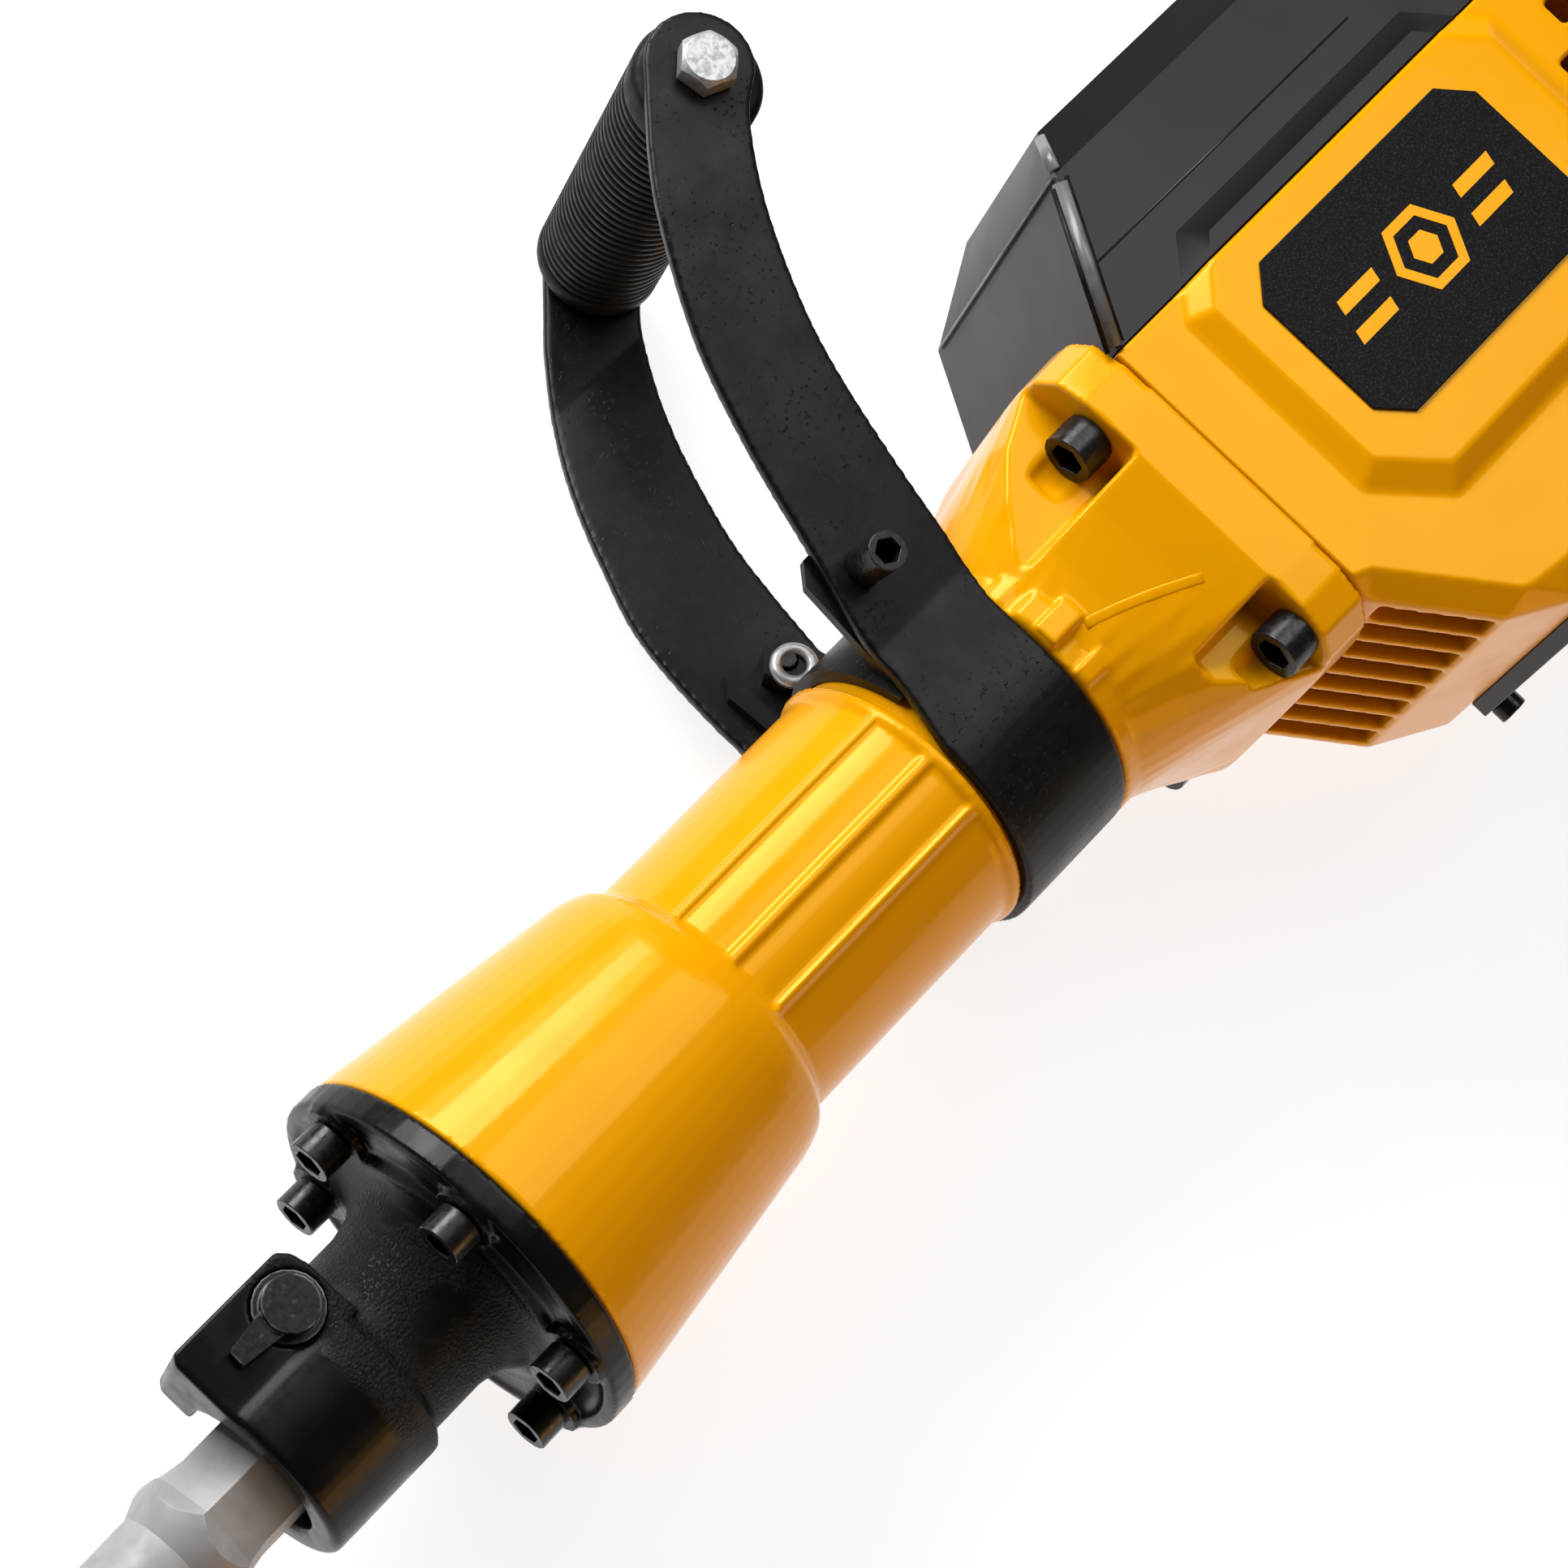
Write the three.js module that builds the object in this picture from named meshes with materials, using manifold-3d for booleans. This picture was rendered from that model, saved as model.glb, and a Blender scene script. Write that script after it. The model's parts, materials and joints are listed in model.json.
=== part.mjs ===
// Electric demolition hammer of the 15 kg class, lying on its side.
// Lengths are millimetres. The hammer is built about its own barrel axis: x = 0 is the front face of the
// nose flange and +X runs back along the barrel, +Y points to the front handle and +Z out of the badge side.
// The last lines move that axis so that the origin is the middle of the bounding box's underside.
import * as THREE from 'three';
import { mergeVertices } from 'three/addons/utils/BufferGeometryUtils.js';
import Module from 'manifold-3d';

// ---------------------------------------------------------------- driving dimensions

const GAP = 0.3;                                  // clearance between touching pieces

// chisel with a 1 1/8 inch hexagon shank, seated a little to the far side of the retainer pin
const HEX_ACROSS_FLATS = 28.6;
const HEX_TURN = -5.2;                            // degrees, how the hexagon sits in the nose
const CHISEL_Y = -1.5;
const CHISEL_LENGTH = 410;
const SHANK_END = 35;                             // x of the struck end
const HEX_FRONT = -83;                            // where the flats begin to run out into the collar
const COLLAR_RADIUS = 18.8;
const CHISEL_TRAVEL = 30;
const ANVIL_RADIUS = 15.8;

// front cover: flange, conical neck and nose
const FLANGE_RADIUS = 56.7;
const FLANGE_THICKNESS = 8.5;
const NOSE_FRONT = -72;
const NOSE_STEP = -35;
const NOSE_RADIUS = 29.5;
const NECK_RADIUS = 26;
const NOSE_BORE_RADIUS = 20.5;
const COVER_BOLTS = 6;
const COVER_BOLT_CIRCLE = 47;
const COVER_BOLT_PHASE = 25;                      // degrees from +Y

// retainer pin beside the shank, along Z
const PIN_X = -42;
const PIN_Y = 20.4;
const PIN_RADIUS = 9.5;
const BOSS_TOP = 27;
const BOSS_BOTTOM = -5;

// barrel (cylinder case)
const CASE_FRONT = FLANGE_THICKNESS + GAP;
const CONE_END = 90;
const CONE_END_RADIUS = 45.8;
const BARREL_RADIUS = 39.6;
const SHOULDER_END = 98.5;
const RIB_END = 179.6;
const LAND_RADIUS = 39;
const CLAMP_FRONT = 181.6;
const CLAMP_REAR = 222.4;
const FUNNEL_FRONT = 224;
const FUNNEL_RADIUS = 42.5;
const SQUARE_FRONT = 275;                         // square rear flange
const SEAM_X = 292;
const SQUARE_HALF_Y = 56;
const SQUARE_HALF_Z = 60;
const SQUARE_CENTRE_Y = -2;
const BORE_FRONT_RADIUS = 40.3;
const BORE_REAR_RADIUS = 31.5;
const BORE_STEP = 97.5;
const CASE_BOLT_Y = [31, -44.5];
const CASE_BOLT_Z = 48;

// front handle
const STRAP_THICKNESS = 4.3;
const STRAP_INNER = LAND_RADIUS + 0.4;
const ARM_BEND_Y = 30;
const ARM_LEVEL_Y = 150;
const ARM_LEVEL_INNER = 60;
const GRIP_MIDDLE = [265.9, 173.2];
const GRIP_TILT = [1.5, 1.1];                     // degrees about X and Y
const GRIP_RADIUS = 18.4;
const TIP_RADIUS = 15.2;
const CLAMP_SCREW = [202, 49];
const CLAMP_HEAD_RADIUS = 5.5;
const CLAMP_HEAD_HEIGHT = 16.5;
const SADDLE_THICKNESS = 3.6;
// [x, y] along the front and rear edges of the two arms, from the clamp band out to the round tip
const UPPER_ARM = {
  front: [
    [181.6, 0], [186, 20], [187.6, 36], [193.4, 61],
    [200.4, 91], [210.2, 120.5], [226.1, 149.7], [239.2, 166.1],
  ],
  tip: [268, 173.6],
  rear: [
    [266.1, 153.5], [252.8, 135], [241.7, 111.7], [235.2, 91.4],
    [229.9, 64.5], [226.4, 41], [222.4, 21], [222.4, 0],
  ],
};
const LOWER_ARM = {
  front: [
    [181.6, 0], [181, 12], [177.6, 40], [183.1, 82.2],
    [194.7, 110.4], [207.7, 134], [221.9, 152.9], [233.5, 166.2],
  ],
  tip: [264.9, 175],
  rear: [
    [262.8, 155], [250.6, 139.5], [240.6, 123.1], [231.2, 102.8],
    [223.5, 81.1], [216.4, 48], [222.4, 21], [222.4, 0],
  ],
};
const ARM_LEAN = (ARM_LEVEL_INNER - STRAP_INNER) / (ARM_LEVEL_Y - ARM_BEND_Y);

// crank case and gear housing
const BODY_FRONT = SEAM_X + GAP;
const BODY_REAR = 485.7;
const BODY_HALF_Z = 60;
const BEVEL_HEIGHT = 6.5;
const BODY_SPLIT_Y = 41;                          // yellow casting below it, black housing above it
const BODY_LOW_Y = -96;
const WALL = 4.5;
const HOUSING_TOP_Y = 101.5;
const HOUSING_EDGE_Y = 87;
const HOUSING_TOP_HALF_Z = 36;
const RAISED = 4.5;                               // height of the octagonal panel

// crank train: crank, intermediate and armature axes are parallel to Y
const CRANK_X = 348;
const CRANK_RADIUS = 15;
const CONROD_LENGTH = 85;
const MOTOR_X = 428;
const FINAL_GEAR = { teeth: 46, module: 1.75 };
const LAY_PINION = { teeth: 13, module: 1.75 };
const LAY_GEAR = { teeth: 38, module: 1.25 };
const MOTOR_PINION = { teeth: 10, module: 1.25 };
const FIRST_STAGE_Y = [58.5, 70.5];
const SECOND_STAGE_Y = [42.6, 54.6];
const CYLINDER_RADIUS = 26;
const WRIST_X = CRANK_X + CRANK_RADIUS - CONROD_LENGTH;

// rear handle
const HANDLE_FRONT = BODY_REAR + GAP;
const HANDLE_REAR = 662;
const HANDLE_HALF_Z = 21;
const HANDLE_BASE_HALF_Z = 43;
const HANDLE_LOW_Y = -90;
const HANDLE_HIGH_Y = 97;
const TRIGGER_TRAVEL = 6;
const SWITCH_FRONT = 641;

// ---------------------------------------------------------------- materials

function finish(color, roughness, metalness) {
  return new THREE.MeshStandardMaterial({ color, roughness, metalness });
}

const YELLOW_ENAMEL = () => finish(0xf5b01f, 0.25, 0.0);
const BLACK_ENAMEL = () => finish(0x17171a, 0.4, 0.1);
const CAST_BLACK = () => finish(0x121214, 0.7, 0.2);
const BLACK_PLASTIC = () => finish(0x2b2b2d, 0.45, 0.0);
const BLACK_RUBBER = () => finish(0x19191a, 0.8, 0.0);
const BLACK_OXIDE = () => finish(0x15161a, 0.35, 0.7);
const ZINC = () => finish(0xc8cacc, 0.3, 0.9);
const FORGED_STEEL = () => finish(0xb9bbbd, 0.4, 0.8);
const GROUND_STEEL = () => finish(0xa5a8ac, 0.25, 0.9);
const COPPER = () => finish(0xb06a3a, 0.35, 0.9);
const CARBON = () => finish(0x2a2a2a, 0.7, 0.1);
const BADGE_BLACK = () => finish(0x111214, 0.6, 0.0);

// ---------------------------------------------------------------- solids

const wasm = await Module();
wasm.setup();

// A closed three.js geometry as a manifold solid with its faces pointing out.
function solid(geometry) {
  const bare = geometry.index ? geometry.clone() : geometry;
  bare.deleteAttribute('normal');
  bare.deleteAttribute('uv');
  const merged = mergeVertices(bare, 2e-3);
  const xyz = merged.attributes.position.array;
  const triangles = [];
  let volume = 0;
  for (let i = 0; i < merged.index.count; i += 3) {
    const [a, b, c] = [0, 1, 2].map((k) => merged.index.getX(i + k));
    if (a === b || b === c || a === c) continue;
    triangles.push(a, b, c);
    const [p, q, r] = [a, b, c].map((v) => new THREE.Vector3(xyz[3 * v], xyz[3 * v + 1], xyz[3 * v + 2]));
    volume += p.dot(q.cross(r));
  }
  if (volume < 0) triangles.reverse();
  return new wasm.Manifold(new wasm.Mesh({
    numProp: 3, vertProperties: new Float32Array(xyz), triVerts: new Uint32Array(triangles),
  }));
}

const join = (...bodies) => bodies.reduce((sum, body) => sum.add(body));
const bothSides = (body) => [body, body.mirror([0, 0, 1])];
const cut = (body, ...tools) => tools.reduce((rest, tool) => rest.subtract(tool), body);

// The named mesh of a solid.
function piece(name, body, material) {
  const { vertProperties, triVerts } = body.getMesh();
  const geometry = new THREE.BufferGeometry();
  geometry.setAttribute('position', new THREE.BufferAttribute(vertProperties, 3));
  geometry.setIndex(new THREE.BufferAttribute(triVerts, 1));
  geometry.computeVertexNormals();
  const mesh = new THREE.Mesh(geometry, material);
  mesh.name = name;
  return mesh;
}

// Turns a geometry whose axis is +Y so that its axis is the one named.
function aim(geometry, axis) {
  if (axis === 'x') geometry.rotateZ(-Math.PI / 2);
  if (axis === 'z') geometry.rotateX(Math.PI / 2);
  return geometry;
}

// Moves a geometry off its axis: the two offsets are those of the other axes, in X, Y, Z order.
function place(geometry, axis, [a, b]) {
  const offset = { x: [0, a, b], y: [a, 0, b], z: [a, b, 0] }[axis];
  return geometry.translate(...offset);
}

// Round solid from [position along the axis, radius] points that start and end on the axis or close.
function turned(axis, profile, segments = 24, centre = [0, 0]) {
  const points = profile.map(([along, radius]) => new THREE.Vector2(radius, along));
  return solid(place(aim(new THREE.LatheGeometry(points, segments), axis), axis, centre));
}

function tube(axis, inner, outer, from, to, segments = 24, centre = [0, 0]) {
  const profile = [[from, inner], [from, outer], [to, outer], [to, inner], [from, inner]];
  return turned(axis, profile, segments, centre);
}

function rod(axis, radius, from, to, segments = 20, centre = [0, 0]) {
  const geometry = new THREE.CylinderGeometry(radius, radius, to - from, segments);
  geometry.translate(0, (from + to) / 2, 0);
  return solid(place(aim(geometry, axis), axis, centre));
}

function block([x0, x1], [y0, y1], [z0, z1]) {
  const geometry = new THREE.BoxGeometry(x1 - x0, y1 - y0, z1 - z0);
  return solid(geometry.translate((x0 + x1) / 2, (y0 + y1) / 2, (z0 + z1) / 2));
}

// Outline in the XY plane, extruded from z0 to z1.
function plate(shape, z0, z1, bevel = 0, curveSegments = 8) {
  const rounded = { bevelSize: bevel, bevelThickness: bevel, bevelOffset: -bevel, bevelSegments: 2 };
  const options = { depth: z1 - z0 - 2 * bevel, ...(bevel ? rounded : { bevelEnabled: false }) };
  const geometry = new THREE.ExtrudeGeometry(shape, { ...options, curveSegments, steps: 1 });
  return geometry.translate(0, 0, z0 + bevel);
}

// Outline of [x, z] points, extruded from y0 to y1.
function crossPlate(shape, y0, y1, curveSegments = 12) {
  const geometry = new THREE.ExtrudeGeometry(shape, { depth: y1 - y0, bevelEnabled: false, curveSegments });
  return geometry.rotateX(Math.PI / 2).translate(0, y1, 0);
}

const polygon = (points) => new THREE.Shape(points.map(([x, y]) => new THREE.Vector2(x, y)));

// Skin through closed sections with equal counts of points, closed by a fan at each end.
function loft(sections) {
  const count = sections[0].length;
  const vertices = sections.flat();
  const index = [];
  for (let s = 0; s + 1 < sections.length; s++) {
    for (let i = 0; i < count; i++) {
      const [a, b] = [s * count + i, s * count + (i + 1) % count];
      index.push(a, b, a + count, b, b + count, a + count);
    }
  }
  for (const s of [0, sections.length - 1]) {
    const middle = new THREE.Vector3();
    sections[s].forEach((point) => middle.addScaledVector(point, 1 / count));
    vertices.push(middle);
    for (let i = 0; i < count; i++) {
      const [a, b] = [s * count + i, s * count + (i + 1) % count];
      index.push(...(s === 0 ? [b, a] : [a, b]), vertices.length - 1);
    }
  }
  const geometry = new THREE.BufferGeometry().setFromPoints(vertices);
  geometry.setIndex(index);
  return solid(geometry);
}

const rad = THREE.MathUtils.degToRad;
const polar = (radius, degrees) => [radius * Math.cos(rad(degrees)), radius * Math.sin(rad(degrees))];

// Six-sided prism along an axis; the first corner is turned by some degrees.
function hexagon(axis, acrossFlats, from, to, turn = 0, centre = [0, 0]) {
  const corner = acrossFlats / Math.sqrt(3);
  const geometry = new THREE.CylinderGeometry(corner, corner, to - from, 6);
  geometry.rotateY(rad(turn)).translate(0, (from + to) / 2, 0);
  return solid(place(aim(geometry, axis), axis, centre));
}

// ---------------------------------------------------------------- fasteners

// Socket-head screw along an axis: the head runs from headTop to seat and the shank on to tip.
function socketScrew(name, axis, centre, { headTop, seat, tip, headRadius, shankRadius }) {
  const inward = Math.sign(seat - headTop);
  const [low, high] = [Math.min(headTop, seat), Math.max(headTop, seat)];
  const socketEnd = headTop + inward * 0.55 * (high - low);
  const [s0, s1] = [Math.min(headTop - inward, socketEnd), Math.max(headTop - inward, socketEnd)];
  const [t0, t1] = [Math.min(seat - inward, tip), Math.max(seat - inward, tip)];
  const body = cut(
    join(rod(axis, headRadius, low, high, 16, centre), rod(axis, shankRadius, t0, t1, 8, centre)),
    hexagon(axis, headRadius * 1.15, s0, s1, 0, centre),
  );
  return piece(name, body, BLACK_OXIDE());
}

// ---------------------------------------------------------------- chisel and nose

// Bull point: hexagon shank with milled flats that run out into the collar, and a notch for the retainer pin.
function chisel() {
  const tip = SHANK_END - CHISEL_LENGTH;
  const flats = [[SHANK_END, 0], [HEX_FRONT, 0], [HEX_FRONT - 7, 2.2], [HEX_FRONT - 18, 13]];
  const hexBar = loft(flats.map(([x, growth]) => [0, 1, 2, 3, 4, 5].map((i) => {
    const [y, z] = polar((HEX_ACROSS_FLATS + growth) / Math.sqrt(3), 30 + HEX_TURN + 60 * i);
    return new THREE.Vector3(x, y, z);
  })));
  const round = turned('x', [
    [tip, 0], [tip, 1.6], [tip + 60, 14.6], [HEX_FRONT - 34, 15], [HEX_FRONT - 19, 15.2],
    [HEX_FRONT - 14, COLLAR_RADIUS - 1.4], [HEX_FRONT - 7, COLLAR_RADIUS], [HEX_FRONT - 2, COLLAR_RADIUS],
    [SHANK_END - 3, COLLAR_RADIUS], [SHANK_END, 13.5], [SHANK_END, 0],
  ], 32);
  const shaft = round.intersect(block([tip - 1, HEX_FRONT - 14], [-30, 30], [-30, 30]));
  const notch = block(
    [PIN_X - PIN_RADIUS - 1, PIN_X + PIN_RADIUS + CHISEL_TRAVEL + 1],
    [PIN_Y - PIN_RADIUS - 0.6 - CHISEL_Y, 30], [-20, 20],
  );
  const shank = cut(hexBar.intersect(round), notch);
  return piece('chisel_bit', join(shank, shaft).translate([0, CHISEL_Y, 0]), FORGED_STEEL());
}

function frontCover() {
  const body = turned('x', [
    [NOSE_FRONT, 0], [NOSE_FRONT, NOSE_RADIUS - 1.5], [NOSE_FRONT + 1.5, NOSE_RADIUS],
    [NOSE_STEP, NOSE_RADIUS], [NOSE_STEP + 3, NECK_RADIUS],
    [-15, NECK_RADIUS], [-8, 27.5], [-3.5, 31], [-1.6, 36], [-1.6, 39], [1.2, 42],
    [1.2, 51.5], [0, 53], [0.8, FLANGE_RADIUS], [FLANGE_THICKNESS, FLANGE_RADIUS], [FLANGE_THICKNESS, 40],
    [32, 40], [32, 0],
  ], 64);
  const seats = boltAngles().map((angle) => rod('x', 9.4, -1.4, 4, 14, polar(COVER_BOLT_CIRCLE, angle)));
  const boss = solid(plate(polygon([
    [NOSE_FRONT, 8], [NOSE_FRONT, 30], [-70, 32.5], [-34.5, 32.5], [-31.8, 29.5], [-30.5, 24.5], [-30.5, 8],
  ]), BOSS_BOTTOM, BOSS_TOP));
  const lip = block([NOSE_FRONT - 5, NOSE_FRONT + 12], [11.8, 40], [-40, BOSS_BOTTOM]);
  const bore = hexagon('x', HEX_ACROSS_FLATS + 0.9, NOSE_FRONT + 14, 40, HEX_TURN, [CHISEL_Y, 0]);
  const mouth = rod('x', NOSE_BORE_RADIUS, NOSE_FRONT - 10, NOSE_FRONT + 14.5, 28);
  const anvilRoom = rod('x', ANVIL_RADIUS + 1.4, 18, 40);
  const pinHole = rod('z', PIN_RADIUS + GAP, BOSS_BOTTOM + 3, BOSS_TOP + 5, 20, [PIN_X, PIN_Y]);
  const holes = boltAngles().map((angle) => rod('x', 4.3, -5, 20, 8, polar(COVER_BOLT_CIRCLE, angle)));
  const cover = cut(join(body, ...seats, boss), lip, bore, mouth, anvilRoom, pinHole, ...holes);
  return piece('front_cover', cover, CAST_BLACK());
}

const boltAngles = () => [...Array(COVER_BOLTS)].map((_, i) => COVER_BOLT_PHASE + i * 360 / COVER_BOLTS);

function coverBolts() {
  return boltAngles().map((angle, i) => socketScrew(
    `front_cover_bolt_${i + 1}`, 'x', polar(COVER_BOLT_CIRCLE, angle),
    { headTop: -10.5, seat: -1.4 - GAP, tip: 28, headRadius: 6.4, shankRadius: 3.9 },
  ));
}

// The pin's flat faces away from the shank when locked, and frees it when the pin is turned half round.
function retainerPin() {
  const centre = [PIN_X, PIN_Y];
  const flat = block([PIN_X - 12, PIN_X + 12], [PIN_Y + 5, PIN_Y + 12], [BOSS_BOTTOM, BOSS_TOP - 8]);
  const barrel = cut(rod('z', PIN_RADIUS, BOSS_BOTTOM + 3.4, BOSS_TOP + GAP, 20, centre), flat);
  const head = rod('z', 7.6, BOSS_TOP - 1, BOSS_TOP + 4.5, 20, centre);
  const lever = solid(plate(polygon([
    [PIN_X - 19, PIN_Y - 2.5], [PIN_X, PIN_Y - 5], [PIN_X, PIN_Y + 5], [PIN_X - 19, PIN_Y + 2.5],
  ]), BOSS_TOP + GAP, BOSS_TOP + 2.8));
  return piece('retainer_pin', join(barrel, head, lever), BLACK_OXIDE());
}

// ---------------------------------------------------------------- barrel

// Closed section across X: a circle for power 2, a rounded rectangle for higher powers.
function roundedSection(x, halfY, halfZ, power, centreY, count = 48) {
  return [...Array(count)].map((_, i) => {
    const angle = 2 * Math.PI * (i + 0.5) / count;
    const [c, s] = [Math.cos(angle), Math.sin(angle)];
    const reach = (Math.abs(c / halfY) ** power + Math.abs(s / halfZ) ** power) ** (-1 / power);
    return new THREE.Vector3(x, centreY + reach * c, reach * s);
  });
}

function cylinderCase() {
  const barrel = turned('x', [
    [CASE_FRONT, 0], [CASE_FRONT, FLANGE_RADIUS - 0.4], [CONE_END - 4, CONE_END_RADIUS + 0.6],
    [CONE_END, CONE_END_RADIUS - 0.2], [CONE_END + 4.5, 44.2], [SHOULDER_END - 1, 41.4],
    [SHOULDER_END, BARREL_RADIUS], [RIB_END - 3, BARREL_RADIUS], [RIB_END - 1.5, 41.3], [RIB_END + 1, 41.3],
    [RIB_END + 1.2, LAND_RADIUS], [FUNNEL_FRONT - 1.2, LAND_RADIUS], [FUNNEL_FRONT - 1, FUNNEL_RADIUS + 1],
    [FUNNEL_FRONT + 5, FUNNEL_RADIUS + 1], [FUNNEL_FRONT + 6, FUNNEL_RADIUS - 1], [FUNNEL_FRONT + 8, 0],
  ], 64);
  const ribs = [60, 87.2, 112.3, -60, -87.2, -112.3].map((angle) => {
    const bar = new THREE.BoxGeometry(RIB_END - SHOULDER_END - 1, 4, 2.4);
    bar.translate((RIB_END + SHOULDER_END) / 2 - 0.5, BARREL_RADIUS - 0.6, 0).rotateX(rad(angle));
    return solid(bar);
  });
  const steps = [0, 0.33, 0.67, 1];
  const funnel = loft([
    roundedSection(FUNNEL_FRONT + 0.5, FUNNEL_RADIUS, FUNNEL_RADIUS, 2, 0),
    ...steps.map((t) => roundedSection(
      FUNNEL_FRONT + 3 + t * (SQUARE_FRONT - FUNNEL_FRONT - 3),
      FUNNEL_RADIUS + (SQUARE_HALF_Y - FUNNEL_RADIUS) * (0.75 * t + 0.25 * t * t),
      FUNNEL_RADIUS + (SQUARE_HALF_Z - FUNNEL_RADIUS) * (0.55 * t + 0.45 * t * t),
      2 + 5 * t ** 1.5, SQUARE_CENTRE_Y * t,
    )),
    roundedSection(SEAM_X, SQUARE_HALF_Y + 0.5, SQUARE_HALF_Z, 7, SQUARE_CENTRE_Y),
  ]);
  const bores = [
    rod('x', BORE_FRONT_RADIUS, CASE_FRONT - 5, BORE_STEP, 40),
    rod('x', BORE_REAR_RADIUS, BORE_STEP - 2, SEAM_X + 5, 24),
  ];
  // Each bolt pocket is open to the side and to the nearer face.
  const pockets = caseBoltPlaces().flatMap(([y, z]) => {
    const [front, wallY, floorZ] = y > 0 ? [236, 18.6, 41.8] : [249.5, -29.8, 42.5];
    const [ySpan, zSpan] = [y > 0 ? [wallY, 80] : [-80, wallY], z > 0 ? [floorZ, 80] : [-80, -floorZ]];
    return [
      block([front, SQUARE_FRONT + 0.3], ySpan, zSpan),
      rod('x', 8.4, SQUARE_FRONT - 18, SQUARE_FRONT + 0.3, 16, [y, z]),
      rod('x', 5.2, SQUARE_FRONT - 5, SEAM_X + 5, 8, [y, z]),
    ];
  });
  // Cast lugs behind the clamp band: angle from +Y, width, rear end and height.
  const lugPlaces = [[64, 5, 234.5, 44.6], [77, 5.5, 232.5, 45], [87, 7, 236, 45.8], [106.5, 5.5, 234, 44.9]];
  const lugs = lugPlaces.map(([angle, width, rear, height]) => {
    const lug = new THREE.BoxGeometry(rear - FUNNEL_FRONT, height - 40, width);
    return solid(lug.translate((rear + FUNNEL_FRONT) / 2, (height + 40) / 2, 0).rotateX(rad(angle)));
  });
  const threads = boltAngles().map((angle) => (
    rod('x', 4.3, CASE_FRONT - 5, 30, 8, polar(COVER_BOLT_CIRCLE, angle))
  ));
  const casting = cut(join(barrel, funnel, ...ribs, ...lugs), ...bores, ...pockets, ...threads);
  return piece('cylinder_case', casting, YELLOW_ENAMEL());
}

const caseBoltPlaces = () => [1, -1].flatMap((side) => CASE_BOLT_Y.map((y) => [y, side * CASE_BOLT_Z]));

function caseBolts() {
  return caseBoltPlaces().map((centre, i) => socketScrew(
    `case_bolt_${i + 1}`, 'x', centre,
    { headTop: SQUARE_FRONT - 10, seat: SQUARE_FRONT, tip: SEAM_X + 14, headRadius: 7.7, shankRadius: 4.8 },
  ));
}

// ---------------------------------------------------------------- striking train in the barrel

const liner = () => piece(
  'cylinder_liner', tube('x', CYLINDER_RADIUS, 31.2, BORE_STEP + 0.5, 290), GROUND_STEEL(),
);

const anvilHolder = () => piece('anvil_holder', turned('x', [
  [33, 24.4], [33, 39.9], [BORE_STEP - 0.5, 39.9], [BORE_STEP - 0.5, 16.4],
  [84, 16.4], [84, 24.4], [33, 24.4],
], 28), GROUND_STEEL());

const damper = () => piece('damper_ring', tube('x', 16.5, 24, 36.5, 49), BLACK_RUBBER());

const anvil = () => piece('anvil', turned('x', [
  [SHANK_END + GAP, 0], [SHANK_END + GAP, 13.5], [SHANK_END + 3, ANVIL_RADIUS], [61, ANVIL_RADIUS],
  [62, 23.9], [78, 23.9], [79, ANVIL_RADIUS], [110, ANVIL_RADIUS], [112, 13], [112, 0],
]), GROUND_STEEL());

const striker = () => piece('striker', turned('x', [
  [135, 0], [135, 13], [137, 15], [150, 15], [151, 25.6], [186, 25.6], [186, 24], [190, 24], [190, 25.6],
  [205, 25.6], [205, 0],
]), GROUND_STEEL());

function piston() {
  const cup = turned('x', [
    [WRIST_X - 22, 0], [WRIST_X - 22, 25.6], [WRIST_X - 16, 25.6], [WRIST_X - 16, 24], [WRIST_X - 13, 24],
    [WRIST_X - 13, 25.6], [WRIST_X + 19, 25.6], [WRIST_X + 19, 19], [WRIST_X - 14, 19], [WRIST_X - 14, 0],
  ]);
  return piece('piston', cut(cup, rod('y', 7.3, -40, 40, 16, [WRIST_X, 0])), finish(0xc3c6c8, 0.3, 0.8));
}

const wristPin = () => piece('wrist_pin', rod('y', 7, -24, 24, 16, [WRIST_X, 0]), GROUND_STEEL());

function conrod() {
  const bigEndX = CRANK_X + CRANK_RADIUS;
  const shank = solid(crossPlate(polygon([
    [WRIST_X + 4, -7], [bigEndX - 6, -9.5], [bigEndX - 6, 9.5], [WRIST_X + 4, 7],
  ]), -6, 6));
  const ends = join(
    rod('y', 12, -8, 8, 20, [WRIST_X, 0]), rod('y', 16, -8, 8, 24, [bigEndX, 0]), shank,
  );
  const holes = [rod('y', 7.3, -20, 20, 16, [WRIST_X, 0]), rod('y', 9.3, -20, 20, 16, [bigEndX, 0])];
  return piece('conrod', cut(ends, ...holes), FORGED_STEEL());
}

const crankPin = () => piece(
  'crank_pin', rod('y', 9, -10, 11.6, 16, [CRANK_X + CRANK_RADIUS, 0]), GROUND_STEEL(),
);

// ---------------------------------------------------------------- gears

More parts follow.
